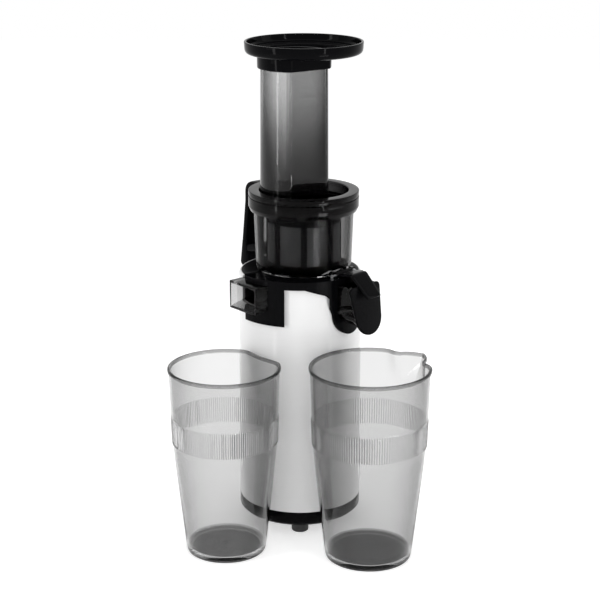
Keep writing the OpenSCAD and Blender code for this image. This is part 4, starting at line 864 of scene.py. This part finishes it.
eased("motor_housing", "base", FINISH["white_plastic"], sharp=30)
eased("top_deck", "base", FINISH["black_satin"])
eased("base_cover", "base", FINISH["black_gloss"])
eased("juicing_bowl", "bowl", BOWL_SMOKE)
eased("pulp_outlet", "bowl", OUTLET_SMOKE, edge=0.5)
eased("juice_outlet", "bowl", OUTLET_SMOKE)
eased("bowl_skirt", "bowl", FINISH["black_gloss"], edge=0.5)

# %% [markdown]
# ## Strainer mesh
#
# The strainer's windows hold an etched steel sheet with a fine lattice of holes. Thousands of real holes
# would cost a great many faces for a thing seen through smoke plastic, so the lattice is in the
# material: two slanted waves round the drive axis leave wires where either is near nought.


# %% Etched steel
def etched(name, pitch, colour):
    """Waves sin(u + v) and sin(u - v), with u the arc length and v the height over the pitch, in
    millimetres; where their product is large the sheet is open and dark."""
    made = bpy.data.materials.new(name)
    tree, add = node_tree(made)
    place = add("TexCoord")
    centred = add("Mapping", {"Vector": place.outputs["Object"], "Location": (-DRIVE[0] * MM, 0, 0)})
    axes = add("SeparateXYZ", {0: centred.outputs[0]})
    angle = add("Math", {0: axes.outputs[1], 1: axes.outputs[0]}, operation="ARCTAN2")
    u = add("Math", {0: angle.outputs[0], 1: 29.0 * math.pi / pitch}, operation="MULTIPLY")
    v = add("Math", {0: axes.outputs[2], 1: math.pi / (pitch * MM)}, operation="MULTIPLY")
    plus = add("Math", {0: u.outputs[0], 1: v.outputs[0]}, operation="ADD")
    minus = add("Math", {0: u.outputs[0], 1: v.outputs[0]}, operation="SUBTRACT")
    wave_a = add("Math", {0: plus.outputs[0]}, operation="SINE")
    wave_b = add("Math", {0: minus.outputs[0]}, operation="SINE")
    both = add("Math", {0: wave_a.outputs[0], 1: wave_b.outputs[0]}, operation="MULTIPLY")
    size = add("Math", {0: both.outputs[0]}, operation="ABSOLUTE")
    open_share = add("MapRange", {"Value": size.outputs[0], "From Min": 0.25, "From Max": 0.4})
    sheet = add("BsdfPrincipled", {"Base Color": (*colour, 1), "Metallic": 1.0, "Roughness": 0.25})
    hole = add("BsdfPrincipled", {"Base Color": (0.004, 0.004, 0.004, 1), "Roughness": 0.7})
    mixed = add("MixShader", {0: open_share.outputs[0], 1: sheet.outputs[0], 2: hole.outputs[0]})
    add("OutputMaterial", {"Surface": mixed.outputs[0]})
    return made


ETCHED = etched("etched_steel", 1.1, (0.09, 0.09, 0.093))
print("etched sheet with holes every 1.1 mm")

# %% Finishes on the other CAD parts
SLOT_NODES = {
    "white_plastic": "motor_housing",
    "black_gloss": "bowl_skirt bowl_handle cap_lever hopper_tray tray_collar base_cover strainer_frame",
    "black_satin": "top_deck cord_gland switch_frame rocker_switch juice_cap auger_core auger_flights "
                   "brush_cap",
    "smoke": "juicing_bowl pulp_outlet juice_outlet lid feed_chute pulp_cup juice_cup",
    "rubber": "rubber_feet shaft_seal",
    "silicone": "bowl_seal cap_seal lid_seal",
    "steel": "base_screws motor_can lower_bearing upper_bearing motor_shaft sun_gear gearbox_screws "
             "first_carrier drive_shaft cap_hinge_pin auger_socket",
    "etched_steel": "strainer_mesh",
    "bronze": "output_bearing auger_bush",
    "copper": "armature_core commutator",
    "nylon": "interlock_plunger ring_gear gearbox_cover mounting_plate first_planet_a first_planet_b "
             "first_planet_c last_planet_a last_planet_b last_planet_c",
    "ferrite": "motor_magnets",
    "carbon": "motor_brushes interlock_switch",
    "board": "control_board",
}
FINISH["smoke"] = BOWL_SMOKE
FINISH["etched_steel"] = ETCHED
for slot, names in SLOT_NODES.items():
    for name in names.split():
        NODES[name].data.materials.clear()
        NODES[name].data.materials.append(FINISH[slot])
print("without a finish:", sorted(set(NODES) - set(" ".join(SLOT_NODES.values()).split())))


# %% Record the size
def as_list(corners):
    """Two corners as plain lists of metres."""
    return [[float(v) for v in corner] for corner in corners]


sizes = {"cad": as_list((CAD_LOW, CAD_HIGH)), "visual": as_list(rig.bounds())}
json.dump(sizes, open("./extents.json", "w"))
print(open("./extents.json").read())
